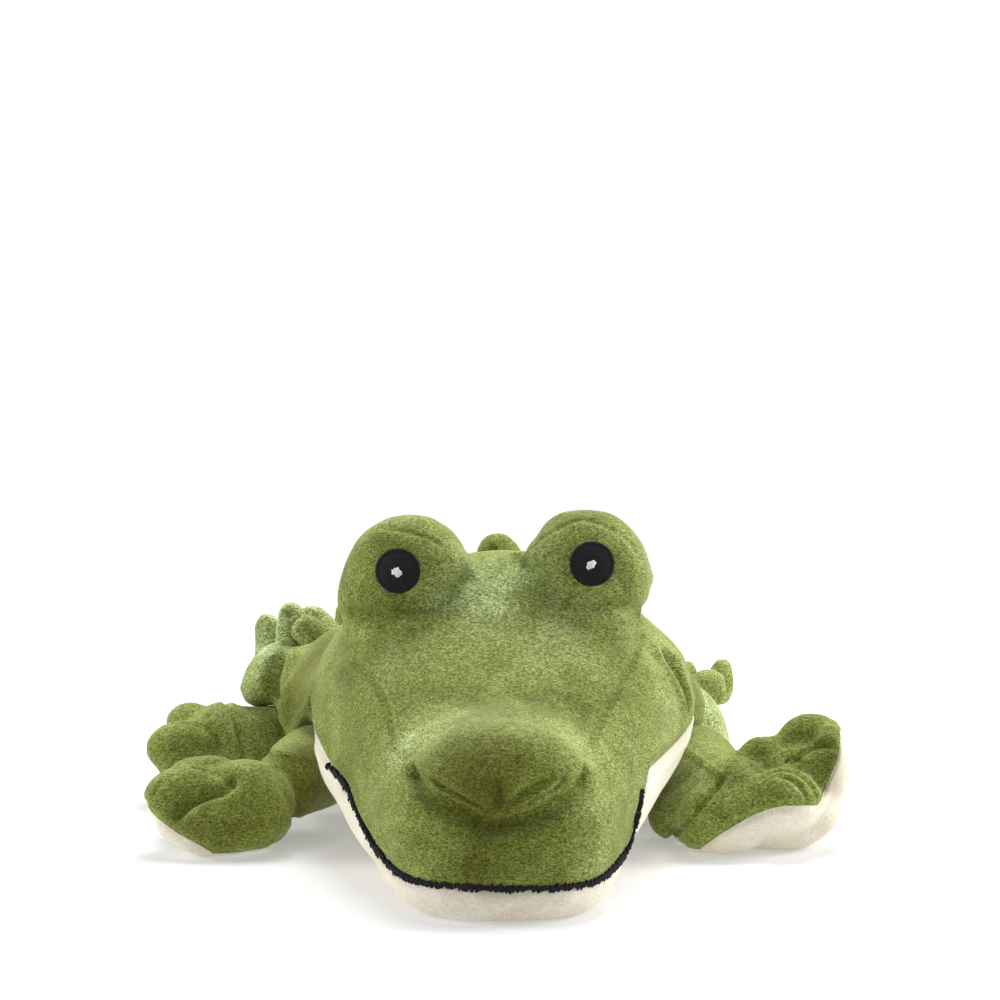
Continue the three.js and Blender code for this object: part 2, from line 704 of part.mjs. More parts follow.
// A spike on the skin of a stretch, turned to stand out from it. The shell is cut from its foot.
function spikeOn(stretch, at, turned, size, shell) {
  const section = sectionOf(stretch, at);
  const foot = sectionPoint(section, turned);
  const nudge = Math.PI / 60;
  const beside = sectionPoint(section, turned + nudge).sub(sectionPoint(section, turned - nudge)).normalize();
  const heading = new THREE.Vector3(-section.sideways.y, section.sideways.x, 0);
  const outwards = new THREE.Vector3().crossVectors(beside, heading).normalize();
  if (outwards.z < 0) outwards.negate();
  const across = new THREE.Vector3().crossVectors(heading, outwards).normalize();
  const stand = new THREE.Matrix4().makeBasis(across, heading, outwards).setPosition(foot);
  return solid(geometryOf(spikeShape(size)), stand).subtract(shell);
}

// The place on the spine where a row of spikes has run on by a pitch, measured on the skin.
function nextAlongRow(stretch, at, turned, pitch) {
  const start = sectionPoint(sectionOf(stretch, at), turned);
  const step = pitch / rowSearchSteps;
  let next = at + step;
  while (next < stretch.to && sectionPoint(sectionOf(stretch, next), turned).distanceTo(start) < pitch) {
    next += step;
  }
  return next;
}

const cutBy = (shape, cutters) => cutters.reduce((left, cutter) => left.subtract(cutter), shape);

function makeTrunk() {
  const { trunk, tail_base: tailBase } = stretches;
  const legRooms = (grow) => Object.values(legs).map((leg) => legRoom(leg, grow));
  const rooms = (grow) => [headBall(flexGap + grow), tailBall(tailBase, flexGap + grow), ...legRooms(grow)];
  const outside = cutBy(stretchBody(trunk, 0, ringSides), rooms(0));
  const inner = (inset) => largestOf(cutBy(stretchCore(trunk, inset), legRooms(inset)));
  const skin = outside.subtract(inner(skinWall));
  piece("trunk_back", largestOf(skin.intersect(aboveHeight(bellySeamHeight + seamGap))), "green");
  piece("trunk_belly", largestOf(skin.intersect(belowHeight(bellySeamHeight))), "cream");
  piece("trunk_filling", inner(skinWall + fillGap), "filling");

  const shell = stretchBody(trunk, -seamGap, ringSides).add(tailBall(tailBase, flexGap));
  const neckSize = neckSpikeHeight / spikeHeight;
  const neckSpike = spikeOn(trunk, neckSpikeAt, Math.PI / 2, neckSize, shell.add(headBall(flexGap)));
  piece("neck_spike", neckSpike, "green");
  const leftTurn = THREE.MathUtils.degToRad(rowTurnDegrees + backLeanDegrees);
  const rightTurn = Math.PI - THREE.MathUtils.degToRad(rowTurnDegrees - backLeanDegrees);
  const rows = [["left", leftTurn, rowLeftSpikes], ["right", rightTurn, rowRightSpikes]];
  for (const [side, turned, count] of rows) {
    let at = rowFirstAt;
    for (let i = 0; i < count; i++) {
      piece(`back_spike_${side}_${i + 1}`, spikeOn(trunk, at, turned, 1, shell), "green");
      at = nextAlongRow(trunk, at, turned, rowPitch);
    }
  }
}

// A stretch of tail, with a round root and a socket for the next stretch.
function makeTail(name, spikes, next) {
  const stretch = stretches[name];
  const root = tailBall(stretch, 0).subtract(behind(stretch)).intersect(aboveFloor);
  const rooted = stretchBody(stretch, 0, tailSides).add(root);
  const outside = next ? rooted.subtract(tailBall(next, flexGap)) : rooted;
  const skin = outside.subtract(stretchCore(stretch, skinWall));
  const seam = sectionOf(stretch, (stretch.from + stretch.to) / 2).mid * tailSeamShare;
  piece(`${name}_top`, largestOf(skin.intersect(aboveHeight(seam + seamGap))), "green");
  piece(`${name}_underside`, largestOf(skin.intersect(belowHeight(seam))), "cream");
  piece(`${name}_filling`, stretchCore(stretch, skinWall + fillGap), "filling");

  const shell = stretchBody(stretch, -seamGap, tailSides).add(tailBall(stretch, seamGap));
  const firstAt = stretch.from + stretch.half * tailSpikeStartShare;
  for (let i = 0; i < spikes; i++) {
    const at = THREE.MathUtils.lerp(firstAt, stretch.to - tailSpikeEnd, i / (spikes - 1));
    const size = THREE.MathUtils.mapLinear(at, tailPivotAt, spineRun, 1, tailSpikeSmallestShare);
    piece(`${name}_spike_${i + 1}`, spikeOn(stretch, at, Math.PI / 2, size, shell), "green");
  }
}

makeHead();
makeTrunk();
for (const [name, leg] of Object.entries(legs)) makeLeg(name, leg);
makeTail("tail_base", tailBaseSpikes, stretches.tail_tip);
makeTail("tail_tip", tailTipSpikes, null);

export default parts;
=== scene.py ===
"""A plush crocodile lying on its belly, seen from the front in a white studio.

Metres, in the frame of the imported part: +Z is up, the snout points to -Y and +X is the animal's left.
Each stuffed body starts from the part's own solids or from round cushions, is melted into one soft
form, and then gets its seams, folds and creases as relief. Pixels are places on the 1000 x 1000
picture, looked up from the camera on the form that carries them, or at a depth along +Y. Sizes and
depths in the tables are in millimetres. Left and right are the animal's own.
"""

import math
import random

import bmesh
import bpy
import numpy as np
from mathutils import Matrix, Vector, noise
from mathutils.bvhtree import BVHTree


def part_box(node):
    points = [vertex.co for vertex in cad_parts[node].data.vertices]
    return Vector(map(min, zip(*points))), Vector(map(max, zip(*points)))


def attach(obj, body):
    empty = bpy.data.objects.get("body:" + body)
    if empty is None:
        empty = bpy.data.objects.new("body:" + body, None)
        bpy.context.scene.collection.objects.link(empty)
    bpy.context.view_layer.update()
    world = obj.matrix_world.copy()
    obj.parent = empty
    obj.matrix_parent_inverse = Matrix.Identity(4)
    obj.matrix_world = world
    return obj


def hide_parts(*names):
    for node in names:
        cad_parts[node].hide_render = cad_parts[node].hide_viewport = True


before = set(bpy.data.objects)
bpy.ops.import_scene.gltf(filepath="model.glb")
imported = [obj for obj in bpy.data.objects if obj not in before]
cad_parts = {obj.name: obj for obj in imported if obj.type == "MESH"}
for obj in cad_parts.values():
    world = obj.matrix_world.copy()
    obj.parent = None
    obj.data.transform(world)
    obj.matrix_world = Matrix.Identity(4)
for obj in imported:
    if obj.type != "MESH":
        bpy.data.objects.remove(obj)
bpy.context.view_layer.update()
MM = 0.001
TINY = 1e-12


def mm(*values):
    """Millimetres in metres."""
    return tuple(value * MM for value in values)


# The camera and its lines of sight.
PICTURE = 1000
CAMERA_PLACE = Vector((-1.4, -1179.0, 213.0)) * MM
CAMERA_DOWN = math.radians(4.02)
SENSOR = 36.0
LENS = 101.52
FOCAL_PIXELS = LENS / SENSOR * PICTURE
AHEAD = Vector((0, math.cos(CAMERA_DOWN), -math.sin(CAMERA_DOWN)))
UPWARD = Vector((0, math.sin(CAMERA_DOWN), math.cos(CAMERA_DOWN)))
RIGHTWARD = Vector((1, 0, 0))


def sight(pixel):
    """The direction from the camera through a pixel."""
    across = (pixel[0] - PICTURE / 2) / FOCAL_PIXELS
    up = (PICTURE / 2 - pixel[1]) / FOCAL_PIXELS
    return (AHEAD + RIGHTWARD * across + UPWARD * up).normalized()


def at(pixel, depth):
    """The point seen at a pixel that lies at a depth, in millimetres along +Y."""
    ray = sight(pixel)
    return CAMERA_PLACE + ray * ((depth * MM - CAMERA_PLACE.y) / ray.y)


# Meshes.
BALL_SIDES = 28
SLEEVE_STEPS = 9
SMOOTHING_STEPS = (0.5, -0.51)  # in, and out again, so that a form keeps its size
LUMP_SHIFT = (1.7, 3.1, 0.9)  # in noise space, from one seed to the next


def arrays(mesh):
    """Points and four-sided faces of a mesh."""
    points = np.empty(len(mesh.vertices) * 3)
    mesh.vertices.foreach_get("co", points)
    corners = np.empty(len(mesh.loops), dtype=np.int64)
    mesh.loops.foreach_get("vertex_index", corners)
    return points.reshape(-1, 3), corners.reshape(-1, 4)


def mesh_of(points, faces):
    """A mesh of points and faces, each in a list or an array."""
    mesh = bpy.data.meshes.new("form")
    mesh.from_pydata(points.tolist() if hasattr(points, "tolist") else points, [],
                     faces.tolist() if hasattr(faces, "tolist") else faces)
    mesh.update()
    return mesh


def modified(mesh, kind, **settings):
    """The mesh with one modifier applied."""
    holder = bpy.data.objects.new("holder", mesh)
    bpy.context.scene.collection.objects.link(holder)
    modifier = holder.modifiers.new("work", kind)
    for name, value in settings.items():
        setattr(modifier, name, value)
    seen = holder.evaluated_get(bpy.context.evaluated_depsgraph_get())
    result = bpy.data.meshes.new_from_object(seen)
    bpy.data.objects.remove(holder)
    bpy.data.meshes.remove(mesh)
    return result


def bands(start, rings, sides):
    """Four-sided faces between rings of points that follow each other from a start."""
    faces = []
    for r in range(rings):
        for k in range(sides):
            a = start + r * sides + k
            b = start + r * sides + (k + 1) % sides
            faces.append((a, a + sides, b + sides, b))
    return faces


def ball(centre, radii, turn=None):
    """Points and faces of a round cushion about a place in metres, with radii in millimetres."""
    points, faces = [], []
    rings = BALL_SIDES // 2
    for r in range(rings + 1):
        tip = math.pi * r / rings
        for k in range(BALL_SIDES if 0 < r < rings else 1):
            around = 2 * math.pi * k / BALL_SIDES
            unit = (math.sin(tip) * math.cos(around), math.sin(tip) * math.sin(around), math.cos(tip))
            own = Vector([size * MM * u for size, u in zip(radii, unit)])
            points.append(tuple(Vector(centre) + (turn @ own if turn else own)))
    last = len(points) - 1
    for k in range(BALL_SIDES):
        following = (k + 1) % BALL_SIDES
        faces.append((0, 1 + k, 1 + following))
        faces.append((last, last - BALL_SIDES + following, last - BALL_SIDES + k))
    return points, faces + bands(1, rings - 2, BALL_SIDES)


def balls_at(*spots):
    """Cushions at places of the picture, each given as a pixel, a depth and the radii."""
    return [ball(at(pixel, depth), radii) for pixel, depth, radii in spots]


def sleeve(start, end, radius_start, radius_end):
    """Balls along a line between two places in millimetres: a soft tapering limb."""
    balls = []
    for n in range(SLEEVE_STEPS + 1):
        share = n / SLEEVE_STEPS
        centre = (Vector(start) * (1 - share) + Vector(end) * share) * MM
        radius = radius_start * (1 - share) + radius_end * share
        balls.append(ball(centre, (radius, radius, radius)))
    return balls


def gathered(nodes, cushions):
    """One mesh with the points and faces of cushions and of nodes of the part."""
    points, faces = [], []
    for places, sides in cushions:
        start = len(points)
        points += places
        faces += [[start + i for i in side] for side in sides]
    for name in nodes:
        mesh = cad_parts[name].data
        start = len(points)
        points += [tuple(v.co) for v in mesh.vertices]
        faces += [[start + i for i in face.vertices] for face in mesh.polygons]
    return mesh_of(points, faces)


def largest_shell(points, quads):
    """The points and faces of the connected surface with the most points, which is the outer one."""
    label = np.arange(len(points))
    while True:
        low = label[quads].min(axis=1)
        fresh = label.copy()
        np.minimum.at(fresh, quads.ravel(), np.repeat(low, 4))
        fresh = fresh[fresh]
        if (fresh == label).all():
            break
        label = fresh
    best = np.bincount(label).argmax()
    kept = label == best
    number = np.cumsum(kept) - 1
    return points[kept], number[quads[kept[quads[:, 0]]]]


def eased(points, quads, rounds):
    """Smooths a form without shrinking it much."""
    a = quads.ravel()
    b = np.roll(quads, -1, axis=1).ravel()
    i = np.concatenate([a, b])
    j = np.concatenate([b, a])
    total = len(points)
    count = np.maximum(np.bincount(i, minlength=total), 1)
    points = points.copy()
    for _ in range(rounds):
        for factor in SMOOTHING_STEPS:
            sums = [np.bincount(i, weights=points[j, axis], minlength=total) for axis in range(3)]
            mean = np.stack([each / count for each in sums], axis=1)
            points += factor * (mean - points)
    return points


def normals_of(points, quads):
    """Unit normals of the points of a form, weighted by the faces about them."""
    diagonal_a = points[quads[:, 2]] - points[quads[:, 0]]
    diagonal_b = points[quads[:, 3]] - points[quads[:, 1]]
    facing = np.cross(diagonal_a, diagonal_b)
    normals = np.zeros_like(points)
    for k in range(4):
        for axis in range(3):
            normals[:, axis] += np.bincount(quads[:, k], weights=facing[:, axis], minlength=len(points))
    return normals / np.maximum(np.linalg.norm(normals, axis=1), TINY)[:, None]


def lumps(points, size, seed):
    """Smooth noise between about -1 and 1 at each point."""
    shift = Vector([seed * step for step in LUMP_SHIFT])
    return np.array([noise.noise(Vector(p) / size + shift) for p in points])


def smooth(share):
    """An even share as one that starts and ends gently, kept between 0 and 1."""
    share = np.clip(share, 0, 1)
    return share * share * (3 - 2 * share)


def ramped(value, low, high):
    """A smooth step from 0 at low to 1 at high."""
    return smooth((value - low) / (high - low))


def hump(distance, width):
    """A bell curve, 1 where the distance is zero."""
    return np.exp(-((distance / width) ** 2))


# Soft forms, and lines on them.
LINE_STEP = 2.0  # pixels between the places of a line
NEAR_CHUNK = 20000  # points compared with a line at a time
LEVELS = 2
LUMP_SIZE = 26 * MM


class Form:
    """A soft form: points and four-sided faces that relief is added to."""

    def __init__(self, nodes, voxel, rounds, lump, seed, levels=LEVELS, lump_size=LUMP_SIZE, shape=None,
                 cushions=()):
        mesh = modified(gathered(nodes, cushions), "REMESH", mode="VOXEL", voxel_size=voxel)
        points, quads = largest_shell(*arrays(mesh))
        bpy.data.meshes.remove(mesh)
        points = eased(points, quads, rounds)
        if shape:
            points = shape(points)
        points += normals_of(points, quads) * (lump * lumps(points, lump_size, seed))[:, None]
        points[:, 2] = np.maximum(points[:, 2], 0)
        if levels:
            mesh = modified(mesh_of(points, quads), "SUBSURF", levels=levels, render_levels=levels)
            points, quads = arrays(mesh)
            bpy.data.meshes.remove(mesh)
        self.points, self.quads = points, quads
        self.refresh()

    def refresh(self):
        """Takes the normals and the search tree from the points as they are now."""
        self.normals = normals_of(self.points, self.quads)
        self.tree = BVHTree.FromPolygons(self.points.tolist(), self.quads.tolist())

    def cushion(self):
        """The form as a cushion of another one."""
        return self.points.tolist(), self.quads.tolist()

    def push(self, amounts):
        """Moves each point along its normal."""
        self.points = self.points + self.normals * np.asarray(amounts)[:, None]

    def hit(self, pixel):
        """Where the line of sight through a pixel meets the form, with the normal there."""
        place, normal, _, _ = self.tree.ray_cast(CAMERA_PLACE, sight(pixel))
        return place, normal

    def nearest(self, pixel):
        """The point of the form closest to the line of sight through a pixel."""
        ahead = np.array(sight(pixel))
        reach = self.points - np.array(CAMERA_PLACE)
        off = reach - (reach @ ahead)[:, None] * ahead
        return self.points[(off ** 2).sum(axis=1).argmin()]

    def line(self, pixels, step=LINE_STEP):
        """A smooth line through pixels, laid on the form where it is seen."""
        places, normals = [], []
        for pixel in spline(pixels, step):
            place, normal = self.hit(pixel)
            if place is not None:
                places.append(np.array(place))
                normals.append(np.array(normal))
        return Path(np.array(places), np.array(normals))

    def relief(self, pixels, reach, fade, profile, refresh=True):
        """Pushes the points near a line by a profile, which is given how far off, on which side and
        how far along they lie. It fades out at the line's ends."""
        path = self.line(pixels)
        which, off, side, along = path.near(self.points, reach)
        ends = smooth(np.minimum(along, path.run[-1] - along) / fade)
        amounts = np.zeros(len(self.points))
        amounts[which] = profile(off, side, along) * ends
        self.push(amounts)
        if refresh:
            self.refresh()


def spline(points, step):
    """Points at about one step apart on a smooth curve through the given ones."""
    table = np.array([points[0], *points, points[-1]], dtype=float)
    result = []
    for k in range(1, len(table) - 2):
        p0, p1, p2, p3 = table[k - 1:k + 3]
        count = max(int(np.linalg.norm(p2 - p1) / step), 1)
        for n in range(count):
            t = n / count
            result.append(0.5 * (2 * p1 + (p2 - p0) * t + (2 * p0 - 5 * p1 + 4 * p2 - p3) * t * t
                                 + (3 * p1 - p0 - 3 * p2 + p3) * t ** 3))
    result.append(table[-1])
    return np.array(result)


class Path:
    """A line on a form: its places, its normals, its sideways directions and the run along it."""

    def __init__(self, places, normals):
        self.places, self.normals = places, normals
        steps = np.linalg.norm(np.diff(places, axis=0), axis=1)
        self.run = np.concatenate([[0], np.cumsum(steps)])
        side = np.cross(np.gradient(places, axis=0), normals)
        self.side = side / np.maximum(np.linalg.norm(side, axis=1), TINY)[:, None]

    def near(self, points, reach):
        """Which points lie within reach, how far off, how far to the side, and how far along."""
        low, high = self.places.min(axis=0) - reach, self.places.max(axis=0) + reach
        chosen = np.nonzero(((points > low) & (points < high)).all(axis=1))[0]
        off, side, along = np.zeros((3, len(chosen)))
        for start in range(0, len(chosen), NEAR_CHUNK):
            chunk = slice(start, start + NEAR_CHUNK)
            some = points[chosen[chunk]]
            gap = ((some[:, None, :] - self.places[None, :, :]) ** 2).sum(axis=2)
            which = gap.argmin(axis=1)
            off[chunk] = np.sqrt(gap[np.arange(len(some)), which])
            along[chunk] = self.run[which]
            side[chunk] = ((some - self.places[which]) * self.side[which]).sum(axis=1)
        close = off < reach
        return chosen[close], off[close], side[close], along[close]


# Relief. Lips, puckers and reaches are placed beside a line in multiples of its own width or reach.
CREASE_REACH = 5
LIP_AT, LIP_WIDTH = 2.1, 1.1
PUCKER_AT, PUCKER_WIDTH = 1.2, 1.6
PUCKER_SWAY, PUCKER_DRIFT = 2.3, 2.7  # how unevenly the puckers follow each other
RIDGE_REACH = 4
GROOVE_WIDTH = 0.35
FOLD_REACH = 3
FLOOR_GIVE = 0.05  # what is left of a height under the floor


def crease(form, pixels, depth, width, lip=0.0, pucker=0.0, pitch=6 * MM, fade=6 * MM, refresh=True):
    """A valley with two lips beside it; puckers are the small gathers that a thread pulls in."""

    def profile(off, side, along):
        wave = np.sin(2 * math.pi * along / pitch + PUCKER_SWAY * np.sin(along / (PUCKER_DRIFT * pitch)))
        amount = -depth * hump(off, width) + lip * hump(off - LIP_AT * width, LIP_WIDTH * width)
        return amount + pucker * wave * hump(off - PUCKER_AT * width, PUCKER_WIDTH * width)

    form.relief(pixels, CREASE_REACH * width, fade, profile, refresh)


def ridge(form, pixels, height, width, groove, fade=5 * MM):
    """A raised seam, with a thin groove along its middle."""

    def profile(off, side, along):
        return height * hump(off, width) - groove * hump(off, GROOVE_WIDTH * width)

    form.relief(pixels, RIDGE_REACH * width, fade, profile)


def fold(form, pixels, height, reach, under, width, fade):
    """Cloth that stands over what lies beside it: raised on one side of the line, cut back on the other."""

    def profile(off, side, along):
        upper = np.clip(-side / width, -1, 1) / 2 + 0.5
        return upper * height * np.exp(-off / reach) - (1 - upper) * under * hump(off, 2 * width)

    form.relief(pixels, FOLD_REACH * reach, fade, profile)


def swell(form, spots):
    """Swellings, or hollows where the height is negative, each about the place behind a pixel. The rows
    give the pixel, the radius and the height in millimetres, and how far it is stretched upwards."""
    for pixel, radius, height, tall in spots:
        place, _ = form.hit(pixel)
        away = form.points - (form.nearest(pixel) if place is None else np.array(place))
        away[:, 2] /= tall
        form.push(height * MM * np.exp(-(away ** 2).sum(axis=1) / (radius * MM) ** 2))
        form.refresh()


def seam_ring(distance, depth, width, lip):
    """Relief for a seam where the signed distance is zero."""
    return -depth * hump(distance, width) + lip * hump(np.abs(distance) - LIP_AT * width, LIP_WIDTH * width)


def settle(form):
    """Flattens what would lie under the floor."""
    height = form.points[:, 2]
    form.points[:, 2] = np.where(height < 0, FLOOR_GIVE * height, height)
    form.refresh()


# Plush and thread.
PATCH_SIZE = 30 * MM
NAP_SIZE = 1.2 * MM
FINE_SIZE = 0.45 * MM
FINE_SHARE = 0.35  # of the fine noise in the pile
RUB_SIZE = 9 * MM
NAP_SHADES = [(0.415, (0.3, 0.28, 0.16)), (0.5, (0.93, 0.93, 0.93)), (0.585, (1.9, 1.84, 2.7))]
RUB_SHADES = [(0.35, (0.8, 0.8, 0.78)), (0.5, (1, 1, 1)), (0.65, (1.2, 1.18, 1.28))]
SPOT_CORE = 0.25  # of a spot's reach, painted at full strength all through
RED_KEPT = 0.85  # a spot of painted shade loses less red, as shade on the plush is warmer
PLUSH_FINISH = {"Roughness": 0.95, "Specular IOR Level": 0.15, "Sheen Roughness": 0.45}
PILE_HEIGHT = 0.8 * MM
THREAD_FINISH = {"Roughness": 0.8, "Specular IOR Level": 0.2}
THREAD_GRAIN = 0.5 * MM
THREAD_HEIGHT = 0.2 * MM
THREAD_BUMP = 0.5


def fill_inputs(tree, node, inputs):
    """Gives a node's inputs values, or links outputs of other nodes to them."""
    for key, value in inputs.items():
        if isinstance(value, bpy.types.NodeSocket):
            tree.links.new(value, node.inputs[key])
        else:
            node.inputs[key].default_value = value


def added(tree, kind, inputs=None, **settings):
    """A new node with its settings and inputs."""
    node = tree.nodes.new(kind)
    for key, value in settings.items():
        setattr(node, key, value)
    fill_inputs(tree, node, inputs or {})
    return node


def noise_at(tree, place, size, detail, roughness=0.5, stretch=(1, 1, 1), distortion=0.0):
    """Noise whose grains have about a size."""
    mapping = added(tree, "ShaderNodeMapping", {"Scale": stretch, "Vector": place})
    inputs = {"Scale": 1 / size, "Detail": detail, "Roughness": roughness, "Distortion": distortion,
              "Vector": mapping.outputs["Vector"]}
    return added(tree, "ShaderNodeTexNoise", inputs).outputs["Fac"]


def ramp(tree, value, stops, interpolation="EASE"):
    """Colours for values, from stops of a value and a colour."""
    node = added(tree, "ShaderNodeValToRGB", {"Fac": value})
    node.color_ramp.interpolation = interpolation
    points = node.color_ramp.elements
    while len(points) < len(stops):
        points.new(0.5)
    for point, (position, colour) in zip(points, stops):
        point.position = position
        point.color = (*colour, 1)
    return node.outputs["Color"]


def multiplied(tree, colour, other, share):
    """A colour times another one, by a share."""
    inputs = {"Factor": share, "A": colour, "B": other}
    return added(tree, "ShaderNodeMix", inputs, data_type="RGBA", blend_type="MULTIPLY").outputs["Result"]


def new_material(name):
    """A material, with its node tree, its shader and the place on the object."""
    material = bpy.data.materials.new(name)
    material.use_nodes = True
    tree = material.node_tree
    place = added(tree, "ShaderNodeTexCoord").outputs["Object"]
    return material, tree, tree.nodes["Principled BSDF"], place


def bumped(tree, height, strength, distance):
    """Normals with a height laid over them."""
    inputs = {"Strength": strength, "Distance": distance, "Height": height}
    return added(tree, "ShaderNodeBump", inputs).outputs["Normal"]


def velour(name, base, light, dark, glow, sheen, pile, grain, spots):
    """Short-pile plush: light and dark patches, a fine nap that lies in rows, and spots of painted light and
    shade.
    """
    material, tree, shader, place = new_material(name)
    patches = noise_at(tree, place, PATCH_SIZE, 2, 0.5, (1, 0.8, 1.2), 0.4)
    colour = ramp(tree, patches, [(0.3, dark), (0.5, base), (0.7, light)])
    nap = noise_at(tree, place, NAP_SIZE, 3, 0.65, (1, 1, 2.1), 0.6)
    fine = noise_at(tree, place, FINE_SIZE, 1, 0.5, (1, 1, 1.5))
    height = added(tree, "ShaderNodeMix", {"Factor": FINE_SHARE, "A": nap, "B": fine}).outputs["Result"]
    rubbed = ramp(tree, noise_at(tree, place, RUB_SIZE, 3, 0.6, (1, 1, 1), 1.0), RUB_SHADES)
    shade = multiplied(tree, ramp(tree, height, NAP_SHADES), rubbed, grain)
    # Spots of painted light and shade, partly also nap brushed one way.
    for pixel, depth, reach, gain in spots.values():
        span = added(tree, "ShaderNodeVectorMath", {0: place, 1: at(pixel, depth)}, operation="DISTANCE")
        inputs = {"From Min": reach * MM * SPOT_CORE, "From Max": reach * MM, "To Min": 1, "To Max": 0,
                  "Value": span.outputs["Value"]}
        near = added(tree, "ShaderNodeMapRange", inputs, interpolation_type="SMOOTHSTEP")
        # Painted light turns paler and bluer, painted shade warmer.
        tint = (gain ** RED_KEPT if gain < 1 else gain, gain, gain * gain, 1)
        shade = multiplied(tree, shade, tint, near.outputs["Result"])
    fill_inputs(tree, shader, {
        **PLUSH_FINISH, "Base Color": multiplied(tree, colour, shade, grain), "Sheen Weight": sheen,
        "Sheen Tint": (*glow, 1), "Normal": bumped(tree, height, pile, PILE_HEIGHT)})
    return material


def thread(name, colour, fleck):
    """Embroidery thread with small lighter flecks."""
    material, tree, shader, place = new_material(name)
    grains = noise_at(tree, place, THREAD_GRAIN, 2)
    flecked = ramp(tree, grains, [(0.35, colour), (0.75, fleck)], "LINEAR")
    normal = bumped(tree, grains, THREAD_BUMP, THREAD_HEIGHT)
    fill_inputs(tree, shader, {**THREAD_FINISH, "Base Color": flecked, "Normal": normal})
    return material


# Where the colour is painted lighter or darker: painted light on lit sides, painted shade in hollows and on
# sides turned from the lamps, partly also nap brushed one way. A pixel, its depth, the reach, and how much.
PAINTED_LIGHT_AND_NAP = {
    "right flank": ((250, 660), 35, 44, 1.35),
    "crown": ((500, 590), -100, 44, 1.45),
    "over the nose": ((505, 705), -163, 34, 0.85),
    "left flank": ((715, 735), 45, 44, 1.9),
    "front right foot": ((235, 825), -105, 48, 0.9),
    # painted shadow in the hollow at the wrist
    "front right cuff": ((305, 790), -75, 32, 0.68),
    "left mound": ((625, 592), -106, 30, 1.25),
    "right cheek": ((345, 740), -136, 42, 0.85),
    "chin": ((500, 870), -221, 50, 0.82),
    "front left toes": ((815, 745), -65, 35, 0.9),
    "end of the tail": ((720, 680), 205, 45, 1.4),
    "left of the nose": ((572, 738), -184, 20, 1.5),
    "right of the nose": ((422, 728), -174, 28, 1.5),
    "nose": ((500, 790), -214, 24, 0.82),
    "back spikes": ((297, 616), 50, 34, 1.48),
    "outer lobe": ((258, 682), 29, 20, 1.25),
    # painted shade in the crease between the lobes
    "between the lobes": ((275, 684), 30, 9, 0.7),
    "inner lobe": ((308, 684), -5, 34, 0.58),
    "shoulder": ((321, 652), 4, 22, 0.74),
    "front left palm": ((698, 795), -84, 24, 1.35),
    "left cheek": ((650, 640), -95, 26, 1.2),
    "under the nose": ((425, 800), -196, 26, 0.82),
    "forehead": ((470, 640), -124, 30, 1.12),
}
GREEN = velour("green plush", base=(0.197, 0.242, 0.044), light=(0.265, 0.32, 0.08),
               dark=(0.146, 0.17, 0.027), glow=(0.62, 0.68, 0.40), sheen=0.38, pile=0.6, grain=0.8,
               spots=PAINTED_LIGHT_AND_NAP)
CREAM = velour("cream plush", base=(0.82, 0.76, 0.60), light=(0.88, 0.84, 0.72), dark=(0.74, 0.67, 0.50),
               glow=(0.95, 0.93, 0.85), sheen=0.3, pile=0.3, grain=0.14, spots={})
BLACK = thread("black thread", colour=(0.006, 0.006, 0.007), fleck=(0.02, 0.02, 0.022))
WHITE = thread("white thread", colour=(0.75, 0.76, 0.76), fleck=(0.93, 0.93, 0.93))
FINISH = {"green_plush": GREEN, "cream_plush": CREAM, "black_embroidery": BLACK, "white_embroidery": WHITE}


# Pieces, and the seams between them.
SEAM_ALLOWANCE = 1.8 * MM
CUT_TOLERANCE = 1e-7


def piece(name, mesh, slot, body, nodes):
    """A finished piece of the toy, tied to its body and to the nodes that it stands for."""
    mesh.name = name
    mesh.polygons.foreach_set("use_smooth", [True] * len(mesh.polygons))
    obj = bpy.data.objects.new(name, mesh)
    bpy.context.scene.collection.objects.link(obj)
    obj.data.materials.append(FINISH[slot])
    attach(obj, body)
    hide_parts(*nodes)


def turn_in(work):
    """Carries the open edges of a form inwards, as the seam allowance does."""
    work.normal_update()
    border = [e for e in work.edges if e.is_boundary]
    inward = {v: v.normal.copy() for e in border for v in e.verts}
    grown = bmesh.ops.extrude_edge_only(work, edges=border)
    fresh = [g for g in grown["geom"] if isinstance(g, bmesh.types.BMVert)]
    for v in fresh:
        origins = [inward[other] for other in (e.other_vert(v) for e in v.link_edges) if other in inward]
        if origins:
            v.co -= origins[-1] * SEAM_ALLOWANCE


def finished(work):
    """A mesh of a cut form, with its open edges turned in."""
    turn_in(work)
    mesh = bpy.data.meshes.new("part")
    work.to_mesh(mesh)
    work.free()
    return mesh


def cut_by_plane(points, faces, place, normal):
    """The parts of a form in front of a plane and behind it."""
    result = []
    for front in (True, False):
        work = bmesh.new()
        mesh = mesh_of(points, faces)
        work.from_mesh(mesh)
        bpy.data.meshes.remove(mesh)
        everything = work.verts[:] + work.edges[:] + work.faces[:]
        bmesh.ops.bisect_plane(work, geom=everything, dist=CUT_TOLERANCE, plane_co=place, plane_no=normal,
                               clear_inner=front, clear_outer=not front)
        result.append(work)
    return result


def parted(points, faces, height):
    """The parts of a form above and below where height(points) is zero, each with its edge turned in.

    height must rise one for one with z, so that the form can be sheared flat, cut and sheared back."""
    sheared = points.copy()
    sheared[:, 2] = height(points)
    result = []
    for work in cut_by_plane(sheared, faces, (0, 0, 0), (0, 0, 1)):
        places = np.array([v.co[:] for v in work.verts])
        places[:, 2] -= height(places * (1, 1, 0))
        for vertex, place in zip(work.verts, places):
            vertex.co = place
        result.append(finished(work))
    return result


def sewn(form, height, depth, width, lip):
    """Sinks a seam where height(points) is zero, flattens the form on the floor, and parts it there."""
    form.push(seam_ring(height(form.points), depth, width, lip))
    settle(form)
    return parted(form.points, form.quads, height)


def creases(form, rows):
    """Creases one after another, from rows of the pixels, the depth, the width and what else it has."""
    for pixels, depth, width, extras in rows:
        crease(form, pixels, *mm(depth, width), **{key: value * MM for key, value in extras.items()})


